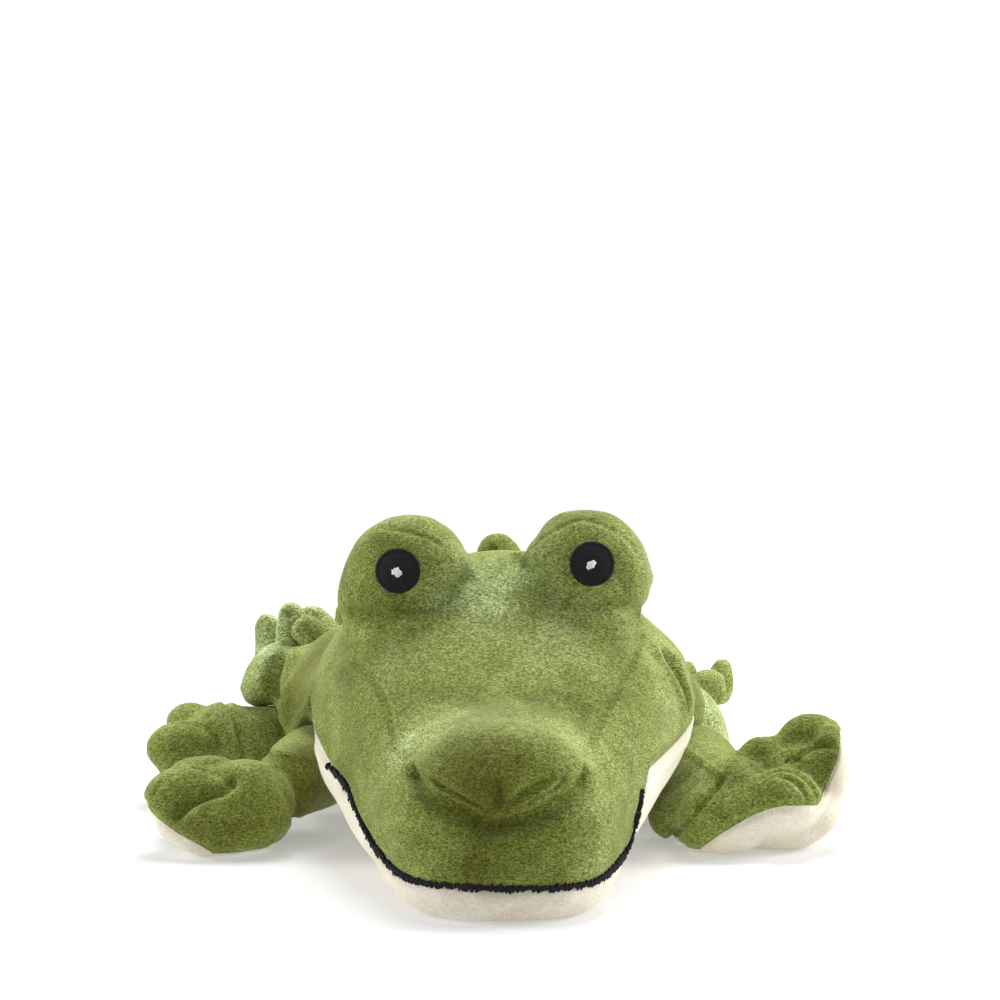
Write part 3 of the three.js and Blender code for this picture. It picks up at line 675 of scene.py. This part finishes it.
# The head.
SNOUT_Y, NECK_Y = mm(-214, -62)
HEAD_LENGTH = 229 * MM
CHEEK_HEIGHT = 52 * MM
MOUTH_SEAM_SHARES = np.array([
    (0.0, 0.21), (0.06, 0.26), (0.17, 0.41), (0.28, 0.58), (0.41, 0.74), (0.52, 0.89), (0.6, 0.97),
    (0.664, 1.0), (1.0, 1.0)])  # the place along the head, and the seam's height as a share of the cheek's
CHIN_FORWARD = 9 * MM
LEFT_MOUND_UP, LEFT_MOUND_IN, RIGHT_MOUND_IN = mm(2.5, 2, 3.2)
WAIST_HEIGHT, WAIST_SPAN, WAIST_IN = mm(89, 10, 6.5)
JAW_LEFT_IN = 7 * MM
JAW_RIGHT_IN, JAW_BY_LEG_IN = 1, 6  # millimetres
NECK_NARROWED = 0.38


def mouth_height(y):
    """Height of the part's own mouth seam at places along the head."""
    share = np.clip((y - SNOUT_Y) / HEAD_LENGTH, 0, 1)
    return CHEEK_HEIGHT * np.interp(share, MOUTH_SEAM_SHARES[:, 0], MOUTH_SEAM_SHARES[:, 1])


def head_shape(points):
    """Fills out the chin, brings the mounds closer, and narrows the cheek under the left one and the jaw."""
    points = points.copy()
    x, y, z = points.T
    y -= CHIN_FORWARD * ramped(-y, *mm(150, 205)) * (1 - ramped(z, *mm(4, 24)))
    before_crown = ramped(-y, *mm(45, 65))
    left_mound = ramped(z, *mm(88, 112)) * ramped(x, *mm(4, 20)) * before_crown
    z += LEFT_MOUND_UP * left_mound
    x -= LEFT_MOUND_IN * left_mound
    right_mound = ramped(z, *mm(92, 114)) * (1 - ramped(x, *mm(-13, -4)))
    x += RIGHT_MOUND_IN * right_mound * before_crown
    x -= WAIST_IN * hump(z - WAIST_HEIGHT, WAIST_SPAN) * ramped(x, *mm(40, 62))
    jaw = 1 - ramped(z, *mm(16, 54))
    x -= JAW_LEFT_IN * jaw * ramped(x, *mm(20, 55))
    beside_leg = ramped(y, *mm(-100, -78))
    x += (JAW_RIGHT_IN + JAW_BY_LEG_IN * beside_leg) * MM * jaw * ramped(-x, *mm(20, 55))
    in_neck = ramped(y, *mm(-58, -24)) * (1 - ramped(z, *mm(45, 60)))
    x *= 1 - NECK_NARROWED * in_neck
    return points


HEAD_GREEN = ["head_top", "nose_pad", "eye_mound_left", "eye_mound_right", "head_filling"]
NOSE_BRIDGE = ball(Vector((-1, -166, 47)) * MM, (36, 36, 20))
head = Form([*HEAD_GREEN, "lower_jaw"], 4 * MM, 110, 0.8 * MM, 3, shape=head_shape, cushions=[NOSE_BRIDGE])

# The chin and its sides, the tip of the nose, the inner sides of the mounds, and below the left one.
swell(head, [
    ((500, 855), 34, 5, 1), ((415, 815), 20, 3.5, 1), ((585, 815), 20, 3.5, 1), ((498, 788), 10, 2, 1),
    ((452, 566), 9, 3, 1), ((533, 566), 9, 3, 1), ((660, 656), 8, -2, 1.5)])

# The nose: a folded lower edge that hangs to a point, a soft second roll below it, and the creases on it.
creases(head, [([(408, 762), (424, 790), (456, 811), (500, 825), (546, 811), (577, 788), (586, 764)],
                2.2, 3.6, {"fade": 9})])
NOSE_EDGE = [(413, 757), (428, 783), (459, 803), (499, 818), (541, 804), (575, 779), (582, 758)]
fold(head, NOSE_EDGE, height=3.3 * MM, reach=7 * MM, under=4.6 * MM, width=2.3 * MM, fade=7 * MM)
creases(head, [
    ([(497, 766), (498, 792), (498, 817)], 4.4, 2.0, {"lip": 0.3, "fade": 8}),
    ([(425, 776), (444, 788), (462, 800), (480, 809), (495, 814)], 3.0, 1.5, {"fade": 6}),
    ([(502, 812), (520, 795), (540, 783), (557, 774)], 3.0, 1.5, {"fade": 6}),
    ([(518, 809), (536, 803), (555, 791), (568, 775)], 2.4, 1.2, {"fade": 5}),
])
for tuck in ([(470, 812), (462, 800)], [(440, 797), (446, 786)], [(552, 803), (548, 790)]):
    crease(head, tuck, *mm(0.9, 1.1), fade=2 * MM, refresh=False)

# The panel seams down the snout, the valley between cheek and neck, and the seams under and over each mound.
PANEL_SEAM = {"lip": 0.45, "pucker": 0.1, "pitch": 4}
MOUND_FOOT = {"lip": 0.8, "pucker": 0.12}
MOUND_SEAM = {"lip": 0.1, "pucker": 0.1, "fade": 9}
creases(head, [
    ([(412, 762), (396, 750), (390, 717), (376, 683), (352, 660)], 1.3, 1.3, PANEL_SEAM),
    ([(582, 762), (606, 709), (632, 661), (643, 632)], 1.3, 1.3, PANEL_SEAM),
    ([(664, 645), (673, 668), (683, 692), (689, 718)], 3.5, 2.6, {"lip": 1.6}),
    ([(345, 613), (370, 615), (400, 612), (440, 597), (475, 572)], 3, 3, MOUND_FOOT),
    ([(517, 552), (530, 574), (555, 592), (600, 607), (645, 614)], 3, 3, MOUND_FOOT),
    ([(341, 566), (350, 540), (368, 530), (385, 528), (425, 537), (455, 555)], 0.7, 1.1, MOUND_SEAM),
    ([(526, 556), (540, 540), (560, 528), (585, 520), (622, 536), (642, 562)], 0.7, 1.1, MOUND_SEAM),
])

# The edge of the jaw below and above the right end of the mouth.
swell(head, [((363, 836), 13, -3.6, 1), ((380, 861), 12, -3.2, 1), ((323, 764), 12, 1.5, 1)])

# The mouth seam follows the picture where it shows, and the part's own seam behind that.
MOUTH_RIGHT = [(312, 735), (320, 748), (329, 766), (339, 776), (347, 787), (353, 800), (360, 818), (370, 838),
               (382, 856), (400, 874), (430, 884), (500, 889)]
MOUTH_LEFT = [(690, 730), (680, 742), (665, 757), (650, 772), (641, 790), (637, 815), (625, 852), (600, 879),
              (560, 888), (500, 889)]
HIDDEN_SEAM_GAP, HIDDEN_SEAM_END = 25 * MM, NECK_Y + 90 * MM
HIDDEN_SEAM_ROWS, SEAM_ROWS = 12, 120
SEAM_SMOOTHINGS = 3
SIDES_MEET = 25 * MM  # from the middle, where the seams of both sides run into one


def seam_rows(pixels):
    """Places along the head and heights of the mouth seam on one side, from the snout back."""
    path = head.line(pixels)
    rows = path.places[path.places[:, 1].argsort()][:, 1:]
    behind = np.linspace(rows[-1, 0] + HIDDEN_SEAM_GAP, HIDDEN_SEAM_END, HIDDEN_SEAM_ROWS)
    rows = np.concatenate([rows, np.stack([behind, mouth_height(behind)], axis=1)])
    even = np.linspace(rows[0, 0], rows[-1, 0], SEAM_ROWS)
    heights = np.interp(even, rows[:, 0], rows[:, 1])
    for _ in range(SEAM_SMOOTHINGS):
        heights[1:-1] = (heights[:-2] + 2 * heights[1:-1] + heights[2:]) / 4
    return even, heights


RIGHT_SEAM, LEFT_SEAM = seam_rows(MOUTH_RIGHT), seam_rows(MOUTH_LEFT)


def over_mouth(points):
    """Height of points over the mouth seam."""
    right = np.interp(points[:, 1], *RIGHT_SEAM)
    left = np.interp(points[:, 1], *LEFT_SEAM)
    share = ramped(points[:, 0], -SIDES_MEET, SIDES_MEET)
    return points[:, 2] - (right * (1 - share) + left * share)


upper, lower = sewn(head, over_mouth, *mm(1.4, 2.0, 0.6))
piece("head_plush", upper, "green_plush", "head", HEAD_GREEN)
piece("jaw_plush", lower, "cream_plush", "head", ["lower_jaw"])

# Eyes and mouth line. Widths on the picture are in pixels.
EYES = {"right": (398, 571), "left": (592, 564)}
EYE_WIDTH, GLINT_WIDTH = 46, 11
EYE_RISE, GLINT_RISE = mm(0.7, 1.5)
GLINT_RAGGED = 0.3
SATIN_EDGE = 0.8  # of the way out, where the rim's satin stitches begin
STITCH_PITCH, STITCH_LENGTH, STITCH_THICK, STITCH_RISE = mm(0.75, 2.9, 1.1, 0.5)
STITCH_LEAN = 0.8  # radians
STITCH_SEED = 5


def laid_disc(form, centre, width, rise, edge, rings=26, sides=72, ragged=0.0, seed=0):
    """A round patch of thread laid on a form, seen from the camera about a pixel."""
    rng = random.Random(seed)
    wobble = [1 + ragged * rng.uniform(-1, 1) for _ in range(sides)]
    place, normal = form.hit(centre)
    points = [tuple(place + normal * rise)]
    for r in range(1, rings + 1):
        share = r / rings
        for s in range(sides):
            turn = 2 * math.pi * s / sides
            reach = width / 2 * (share * wobble[s])
            place, normal = form.hit((centre[0] + reach * math.cos(turn), centre[1] + reach * math.sin(turn)))
            points.append(tuple(place + normal * (rise * edge(share, turn))))
    faces = [(0, 1 + s, 1 + (s + 1) % sides) for s in range(sides)]
    return mesh_of(points, faces + bands(1, rings - 1, sides))


def disc_edge(share, turn):
    """Height of the satin stitch: a flat middle, a raised rim ring, and an edge that goes under the pile."""
    rim_stitches = 0.10 * math.sin(54 * turn) * (share > SATIN_EDGE)
    rows = 0.10 * math.sin(30 * share * math.sin(turn)) * (share <= SATIN_EDGE)
    rim = 0.25 * math.exp(-((share - 0.9) / 0.06) ** 2)
    groove = -0.4 * math.exp(-((share - 0.79) / 0.03) ** 2)
    drop = -2.2 * max(0, (share - 0.94) / 0.06) ** 2
    return 1 + rim_stitches + rows + rim + groove + drop


def glint_edge(share, turn):
    """Height of the highlight's stitches: a low mound with a few rows on it."""
    return 1.0 - 0.9 * share ** 3 + 0.1 * math.sin(9 * share * math.cos(turn))


def stitches(form, pixels, steps=5, sides=6):
    """Short crosswise stitches along a line, each a small tapered bar that dips in at both ends."""
    rng = random.Random(STITCH_SEED)
    path = form.line(pixels, 1.0)
    points, faces = [], []
    done = 0.0
    while done < path.run[-1]:
        k = min(int(np.searchsorted(path.run, done)), len(path.run) - 1)
        middle, out, across = path.places[k], path.normals[k], path.side[k]
        lean = rng.uniform(-STITCH_LEAN, STITCH_LEAN)
        direction = across * math.cos(lean) + np.cross(out, across) * math.sin(lean)
        size = STITCH_LENGTH * rng.uniform(0.6, 1.35)
        shift = rng.uniform(-0.12, 0.12) * STITCH_LENGTH
        wide = STITCH_THICK * rng.uniform(0.8, 1.2)
        start = len(points)
        flank = np.cross(direction, out)
        for n in range(steps + 1):
            t = n / steps * 2 - 1
            lift = 0.75 * wide * (1 - t * t) - 0.35 * wide
            centre = middle + direction * (t * size / 2 + shift) + out * (lift + STITCH_RISE)
            radius = wide / 2 * math.sqrt(max(1 - t ** 4, 0.02))
            for m in range(sides):
                a = 2 * math.pi * m / sides
                points.append(tuple(centre + flank * (radius * math.cos(a)) + out * (radius * math.sin(a))))
        faces += [face[::-1] for face in bands(start, steps, sides)]
        faces.append([start + m for m in reversed(range(sides))])
        faces.append([start + steps * sides + m for m in range(sides)])
        done += STITCH_PITCH * rng.uniform(0.85, 1.15)
    return mesh_of(points, faces)


for side, centre in EYES.items():
    disc = laid_disc(head, centre, EYE_WIDTH, EYE_RISE, disc_edge)
    glint = laid_disc(head, (centre[0] - 1, centre[1] + 1), GLINT_WIDTH, GLINT_RISE, glint_edge,
                      rings=6, sides=18, ragged=GLINT_RAGGED, seed=len(side))
    piece(f"eye_disc_{side}", disc, "black_embroidery", "head", [f"eye_{side}"])
    piece(f"eye_glint_{side}", glint, "white_embroidery", "head", [f"eye_glint_{side}"])
stitched = stitches(head, MOUTH_RIGHT[2:] + MOUTH_LEFT[4:-1][::-1])
piece("mouth_stitches", stitched, "black_embroidery", "head", ["mouth_stitching"])

# The trunk, with loose cloth on its right flank that lies in two lobes.
BELLY_SEAM = 15 * MM
FLANK_X, FLANK_TAKEN_IN = -76 * MM, 0.4
OUTER_LOBE = balls_at(((274, 663), 46, (9.2, 17, 8.5)), ((261, 687), 44, (9.2, 18, 8.8)),
                      ((267, 675), 46, (9.6, 17, 9)))
INNER_LOBE = balls_at(((301, 694), 30, (10, 20, 21.5)), ((283, 662), 44, (12, 18, 9)))
SHOULDER = balls_at(((290, 669), 78, (15, 38, 15)), ((336, 674), 58, (15, 30, 15)),
                    ((318, 674), 84, (20, 38, 16)))


def trunk_shape(points):
    """Takes in the right flank, under the lobes."""
    points = points.copy()
    beyond = np.clip(-points[:, 0] + FLANK_X, 0, None) * ramped(points[:, 1], *mm(-10, 15))
    points[:, 0] += FLANK_TAKEN_IN * beyond
    return points


def over_belly(points):
    """Height of points over the seam of the belly panel."""
    return points[:, 2] - BELLY_SEAM


trunk = Form(["trunk_back", "trunk_belly", "trunk_filling"], 4.4 * MM, 90, 1.5 * MM, 5, levels=0,
             shape=trunk_shape)
trunk = Form([], 2.8 * MM, 12, 0.4 * MM, 6, levels=1,
             cushions=[trunk.cushion(), *OUTER_LOBE, *INNER_LOBE, *SHOULDER])
swell(trunk, [((712, 728), 14, 4, 1.3)])
creases(trunk, [([(281, 650), (278, 668), (278, 688), (280, 704)], 6, 3, {"lip": 0.8}),
                ([(266, 656), (270, 675), (270, 694)], 3, 4, {"fade": 9})])
ridge(trunk, [(291, 743), (301, 720), (313, 699), (325, 681)], *mm(3.4, 2.1, 1.5))
carriers = {"trunk": trunk}
upper, lower = sewn(trunk, over_belly, *mm(1.3, 2.2, 0.6))
piece("trunk_plush", upper, "green_plush", "trunk", ["trunk_back", "trunk_filling"])
piece("belly_plush", lower, "cream_plush", "trunk", ["trunk_belly"])

# The tail, in two stretches.
TAIL_END = 96 * MM
END_DRAWN_IN, END_CURLED_UP = 0.55, 0.7
END_SEAM_RUN, END_SEAM_DROP = mm(30, 14)
END_BALLS = balls_at(((705, 684), 206, (8, 7.5, 7.5)), ((717, 696), 204, (6, 6, 5)),
                     ((712, 683), 208, (7, 7, 7)))
STRETCHES = {"tail_base": (4.2 * MM, []), "tail_tip": (3 * MM, END_BALLS)}  # voxel and cushions


def tail_shape(points):
    """Curls the end of the tail up off the floor, and draws it in."""
    points = points.copy()
    beyond = np.clip(points[:, 0] - TAIL_END, 0, None) * ramped(points[:, 1], *mm(150, 170))
    points[:, 0] -= END_DRAWN_IN * beyond
    points[:, 2] += END_CURLED_UP * beyond * (1 - ramped(points[:, 2], *mm(8, 30)))
    return points


for stretch, (voxel, end_balls) in STRETCHES.items():
    covered = [f"{stretch}_top", f"{stretch}_filling"]
    under = f"{stretch}_underside"
    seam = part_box(under)[1][2]
    form = Form([*covered, under], voxel, 70, 1.0 * MM, 7, levels=0, shape=tail_shape)
    form = Form([], 2.6 * MM, 10, 0.3 * MM, 8, levels=1, cushions=[form.cushion(), *end_balls])

    def over_seam(points, seam=seam):
        """Height of points over the seam of the underside, which runs out under the tail's end."""
        return points[:, 2] - seam + END_SEAM_DROP * ramped(points[:, 0], TAIL_END - END_SEAM_RUN, TAIL_END)

    upper, lower = sewn(form, over_seam, *mm(1.3, 2.0, 0.3))
    carriers[stretch] = form
    piece(f"{stretch}_plush", upper, "green_plush", stretch, covered)
    piece(f"{stretch}_underside_plush", lower, "cream_plush", stretch, [under])

# The legs, each built from cushions. A cuff is a line on the picture that parts the foot from the leg. Toes
# are rows for creases(), and hollows are rows for swell().
HIND_LEFT_CUFF = (68, 96, 19)


def foot_balls(wrist, pointing, length):
    """A palm and three toes, lying on the floor and pointing some way, in degrees from +X."""
    turn = Matrix.Rotation(math.radians(pointing), 3, "Z")

    def lie(x, y, z):
        """A place of the foot in metres."""
        return (Vector(wrist) + turn @ Vector((x, y, z))) * MM

    balls = [ball(lie(0.36 * length, 0, 16), (length / 2, 25, 20), turn)]
    for which in (-1, 0, 1):
        fan = Matrix.Rotation(math.radians(pointing + 17 * which), 3, "Z")
        balls.append(ball(lie(0.6 * length, 16 * which, 15.5), (0.38 * length, 11, 19), fan))
    return balls


LEGS = {
    "front_right": [
        *sleeve((-79.1, -18.1, 20), (-86, -70, 22), 18, 14),
        *balls_at(
            ((187, 796), -92, (17, 13, 12.3)), ((205, 773), -72, (15, 12, 7.2)),
            ((244, 807), -90, (20, 21, 18.8)), ((218, 826), -101, (20, 12, 12.5)),
            ((183, 820), -96, (10.5, 13, 9.6)), ((212, 797), -60, (20, 15, 14.5))),
    ],
    "front_left": [
        *sleeve((79.1, -18.1, 19), (86, -70, 19), 19, 16),
        *balls_at(
            ((725, 818), -98, (19, 16, 14)), ((781, 801), -98, (16, 14, 13)),
            ((733, 796), -85, (15, 20, 15.6)), ((800, 780), -80, (15, 12, 14)),
            ((812, 748), -64, (15, 12, 14)), ((755, 780), -72, (15, 14, 9.5)),
            ((775, 816), -84, (23, 18, 14)), ((830, 771), -76, (7.8, 17, 19)), ((700, 832), -95, (9, 14, 8)),
            ((764, 754), -68, (10, 10, 7)), ((678, 816), -72, (12, 15, 10)), ((704, 780), -68, (10, 12, 10)),
            ((689, 798), -66, (11, 12, 11)), ((709, 790), -78, (9, 10, 9)), ((693, 809), -80, (10, 11, 10)),
            ((808, 806), -82, (13, 18, 13))),
    ],
    "hind_right": [
        *sleeve((-84, 38, 20.5), (-112, 30, 20.5), 18, 18),
        *balls_at(
            ((183, 748), 14, (16, 13, 12)), ((190, 723), 36, (10.6, 12, 9)), ((222, 739), 28, (15, 22, 16)),
            ((200, 742), 50, (16, 14, 12))),
        *foot_balls((-106, 34, 0), -178, 43),
    ],
    "hind_left": [*sleeve((70, 50, 20), HIND_LEFT_CUFF, 29.5, 16), *foot_balls((67.5, 96, 0), 84, 45)],
}
CUFFS = {
    "front_right": [(270, 757), (294, 819)],
    "front_left": [(725, 777), (675, 836)],
    "hind_right": [(235, 728), (245, 756)],
}
CUFF_DEPTH = {"front_right": 0.7, "front_left": 2.3, "hind_right": 1.1, "hind_left": 1.0}
CUFF_TOP_DEPTH = -72  # along +Y, where the top of a cuff is looked up
CUFF_FADE = 8 * MM
SOLE_LINES = {
    "front_right": [(146, 804), (155, 817), (171, 829), (185, 838), (200, 846), (213, 854)],
    "front_left": [(700, 850), (705, 846), (725, 832), (755, 815), (780, 807), (808, 806), (819, 805),
                   (825, 790), (837, 760), (841, 740), (846, 728)],
}
SOLE_HEIGHTS = {"hind_right": 4 * MM, "hind_left": 8 * MM}
SOLE_ENDS, SOLE_END_RISE = mm(-60, -38), 60 * MM  # along +Y, where a front leg begins
TOES = {
    "front_right": [
        ([(173, 825), (180, 813), (190, 803), (207, 795), (222, 791), (232, 784)], 3.0, 2.2, {"lip": 0.2}),
        ([(231, 790), (229, 779), (215, 772), (200, 767), (184, 766)], 1.8, 2.0, {}),
        ([(150, 803), (156, 790), (168, 778)], 0.9, 1.4, {}),
    ],
    "front_left": [
        ([(757, 786), (762, 776), (780, 769), (800, 774), (814, 788), (820, 806)], 1.7, 1.7, {}),
        ([(772, 776), (790, 779), (803, 791), (808, 806)], 1.2, 1.4, {}),
        ([(783, 754), (793, 755), (804, 750), (820, 744), (838, 749)], 2.6, 1.8, {}),
        ([(752, 762), (757, 770), (770, 772)], 1.2, 2.0, {}),
    ],
    "hind_right": [
        ([(170, 722), (188, 722), (205, 727), (217, 738), (219, 753)], 1.8, 2.2, {}),
        ([(203, 726), (207, 716), (216, 709)], 1.8, 2.0, {}),
    ],
}
LEG_SEAMS = {
    "front_right": [(262, 752), (280, 754), (300, 758), (318, 763)],
    "front_left": [(681, 747), (702, 762), (725, 779)],
}
HOLLOWS = {"front_right": [((231, 783), 4, -3, 1)], "front_left": [((789, 752), 5, -4.5, 1)]}


def cuff_plane(name):
    """A point of the plane of a leg's cuff, and the way that the foot lies from it."""
    if name not in CUFFS:
        return Vector(HIND_LEFT_CUFF) * MM, Vector((0, 1, 0))
    top, bottom = CUFFS[name]
    away = sight(top).cross(sight(bottom)).normalized()
    return CAMERA_PLACE, away if away.x * at(top, 0).x > 0 else -away


def sole_rows(form, name):
    """Places across and heights of the sole seam of a leg."""
    if name in SOLE_HEIGHTS:
        return np.array([(-1, SOLE_HEIGHTS[name]), (1, SOLE_HEIGHTS[name])])
    rows = form.line(SOLE_LINES[name]).places[:, [0, 2]]
    return rows[rows[:, 0].argsort()]


for name, cushions in LEGS.items():
    form = Form([], 2.2 * MM, 9, 0.6 * MM, 11 + len(name), lump_size=18 * MM, cushions=cushions)
    creases(form, TOES.get(name, []))
    if name in LEG_SEAMS:
        ridge(form, LEG_SEAMS[name], *mm(1.6, 1.5, 1.0))
    swell(form, HOLLOWS.get(name, []))
    place, away = cuff_plane(name)
    rows = sole_rows(form, name)

    def over_sole(points, rows=rows):
        """Height of points over the sole seam, which ends where a front leg begins."""
        over = points[:, 2] - np.interp(points[:, 0], rows[:, 0], rows[:, 1])
        return over + SOLE_END_RISE * ramped(points[:, 1], *SOLE_ENDS) * (points[:, 1] < 0)

    off_cuff = (form.points - np.array(place)) @ np.array(away)
    relief = seam_ring(off_cuff, *mm(CUFF_DEPTH[name], 1.2, 0.2))
    if name in CUFFS:
        top = at(CUFFS[name][0], CUFF_TOP_DEPTH).z
        relief *= 1 - ramped(form.points[:, 2], top, top + CUFF_FADE)
    relief += np.where(off_cuff > 0, seam_ring(over_sole(form.points), *mm(0.9, 1.6, 0.2)), 0)
    form.push(relief)
    settle(form)
    foot_work, leg_work = cut_by_plane(form.points, form.quads, place, away)
    foot_work.verts.index_update()
    foot_points = np.array([v.co[:] for v in foot_work.verts])
    foot_faces = [[v.index for v in f.verts] for f in foot_work.faces]
    foot_work.free()
    leg_mesh = finished(leg_work)
    foot_mesh, sole_mesh = parted(foot_points, foot_faces, over_sole)
    for part, mesh, slot, fill in (("leg", leg_mesh, "green_plush", 0.7),
                                   ("foot", foot_mesh, "green_plush", 0.8),
                                   ("sole", sole_mesh, "cream_plush", 0.8)):
        piece(f"{name}_{part}_plush", mesh, slot, f"{name}_limb", [f"{name}_{part}"])

# The spikes. For those in the picture: the pixels of the foot and of the tip, the depth and the radius.
SPIKE_SPOTS = {
    "neck_spike": ((514, 592), (496, 553), 14, 10.4),
    "back_spike_right_1": ((338, 655), (306, 630), 38, 7.6),
    "back_spike_right_2": ((295, 652), (291, 616), 46, 7.4),
    "back_spike_right_3": ((275, 656), (269, 626), 56, 7.0),
    "back_spike_right_4": ((326, 648), (313, 620), 66, 8.2),
    "tail_tip_spike_6": ((719, 688), (722, 669), 214, 6.2),
}
SPIKE_DIMPLES = {"back_spike_right_2": [((289, 613), 2.4, -3.0, 1)]}
SPIKE_TALL = 2.35  # times the radius
SPIKE_FOOT, SPIKE_TIP = 1.3, 0.82  # times the radius, for those in the picture
FIRST_SPIKE_SEED = 20


def carrier_of(spike):
    """The body that a spike stands on."""
    for body in ("tail_base", "tail_tip"):
        if spike.startswith(body):
            return body
    return "trunk"


def spike_balls(foot, out, radius):
    """A soft cone that stands on a foot: a broad base, a round middle and a blunt tip."""
    turn = out.to_track_quat("Z", "Y").to_matrix()
    tall = SPIKE_TALL * radius
    middle = foot + out * (0.42 * tall) * MM
    tip = foot + out * (tall - 0.62 * radius) * MM
    return [ball(foot, (1.3 * radius, 1.3 * radius, 0.45 * tall), turn),
            ball(middle, (radius, radius, 0.46 * tall), turn),
            ball(tip, (0.6 * radius, 0.6 * radius, 0.6 * radius))]


for index, name in enumerate(sorted(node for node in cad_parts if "spike" in node)):
    body = carrier_of(name)
    if name in SPIKE_SPOTS:
        foot, tip, depth, radius = SPIKE_SPOTS[name]
        cushions = sleeve(at(foot, depth) / MM, at(tip, depth) / MM, SPIKE_FOOT * radius, SPIKE_TIP * radius)
    else:
        low, high = (Vector(corner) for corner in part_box(name))
        middle = (low + high) / 2
        foot = carriers[body].tree.find_nearest(middle)[0]
        cushions = spike_balls(foot, (middle - foot).normalized(), 0.5 * min(high - low) / MM)
    form = Form([], 1.6 * MM, 9, 1.1 * MM, FIRST_SPIKE_SEED + index, levels=1, lump_size=8 * MM,
                cushions=cushions)
    swell(form, SPIKE_DIMPLES.get(name, []))
    piece(f"{name}_plush", mesh_of(form.points, form.quads), "green_plush", body, [name])

# Camera, light and floor.
LAMPS = {  # the place and the target in metres, the width, and the power in watts
    "top": ((0.15, 0.65, 1.4), (0, -0.02, 0.03), 1.1, 27),
    "right": ((1.3, 0.25, 0.6), (0, 0, 0.03), 0.7, 17),
    "left": ((-1.4, 0.1, 0.5), (0, 0, 0.03), 0.7, 13),
    "front": ((0.5, -1.2, 1.3), (0, 0, 0.03), 0.8, 2),
}
WHITE_LIGHT = (1, 1, 1, 1)
SKY_SEEN, SKY_LIGHT = 1, 0.3
FLOOR_CORNERS = ((-6, -4), (6, -4), (6, 8), (-6, 8))
FLOOR_HEIGHT = -0.6 * MM
FLOOR_COLOUR = (0.93, 0.93, 0.93, 1)
FLOOR_NEAR, FLOOR_FAR = 0.3, 0.9  # metres from the toy, between which the floor turns white
FLOOR_GLOW = 0.3  # how much it glows beside the toy, which lightens the toy's shadow there

scene = bpy.context.scene
scene.view_settings.view_transform = "Standard"


def set_camera():
    """The camera of the picture."""
    data = bpy.data.cameras.new("camera")
    data.lens = LENS
    data.sensor_width = SENSOR
    data.clip_end = 50
    camera = bpy.data.objects.new("camera", data)
    camera.location = CAMERA_PLACE
    camera.rotation_euler = (math.pi / 2 - CAMERA_DOWN, 0, 0)
    scene.collection.objects.link(camera)
    scene.camera = camera


def set_world():
    """A world that is seen as white, and that lights the toy softly."""
    world = bpy.data.worlds.new("studio")
    scene.world = world
    world.use_nodes = True
    tree = world.node_tree
    tree.nodes.clear()
    rays = added(tree, "ShaderNodeLightPath")
    seen = rays.outputs["Is Camera Ray"]
    for kind in ("Is Glossy Ray", "Is Transmission Ray"):
        seen = added(tree, "ShaderNodeMath", {0: seen, 1: rays.outputs[kind]}, operation="MAXIMUM").outputs[0]
    soft = added(tree, "ShaderNodeBackground", {"Color": WHITE_LIGHT, "Strength": SKY_LIGHT})
    white = added(tree, "ShaderNodeBackground", {"Color": WHITE_LIGHT, "Strength": SKY_SEEN})
    blend = added(tree, "ShaderNodeMixShader", {0: seen, 1: soft.outputs[0], 2: white.outputs[0]})
    added(tree, "ShaderNodeOutputWorld", {"Surface": blend.outputs[0]})


def lamp(name, place, target, size, energy):
    """A round lamp that points at a place."""
    data = bpy.data.lights.new(name, "AREA")
    data.shape = "DISK"
    data.size = size
    data.energy = energy
    obj = bpy.data.objects.new(name, data)
    obj.location = place
    obj.rotation_euler = (Vector(target) - Vector(place)).to_track_quat("-Z", "Y").to_euler()
    scene.collection.objects.link(obj)


def floor_paint():
    """A matt floor that glows a little beside the toy, lightening the toy's shadow there, and turns into
    plain glowing white away from it.
    """
    material, tree, shader, place = new_material("pale floor")
    fill_inputs(tree, shader, {"Base Color": FLOOR_COLOUR, "Roughness": 0.9, "Specular IOR Level": 0.1})
    span = added(tree, "ShaderNodeVectorMath", {0: place}, operation="LENGTH").outputs["Value"]
    inputs = {"From Min": FLOOR_NEAR, "From Max": FLOOR_FAR, "To Min": FLOOR_GLOW, "Value": span}
    far = added(tree, "ShaderNodeMapRange", inputs, interpolation_type="SMOOTHSTEP").outputs["Result"]
    bright = added(tree, "ShaderNodeEmission", {"Strength": 1}).outputs["Emission"]
    mixed = added(tree, "ShaderNodeMixShader", {0: far, 1: shader.outputs["BSDF"], 2: bright})
    fill_inputs(tree, tree.nodes["Material Output"], {"Surface": mixed.outputs["Shader"]})
    return material


set_camera()
set_world()
for name, row in LAMPS.items():
    lamp(name, *row)

floor_mesh = mesh_of([(x, y, FLOOR_HEIGHT) for x, y in FLOOR_CORNERS], [(0, 1, 2, 3)])
floor = bpy.data.objects.new("floor", floor_mesh)
scene.collection.objects.link(floor)
floor.data.materials.append(floor_paint())
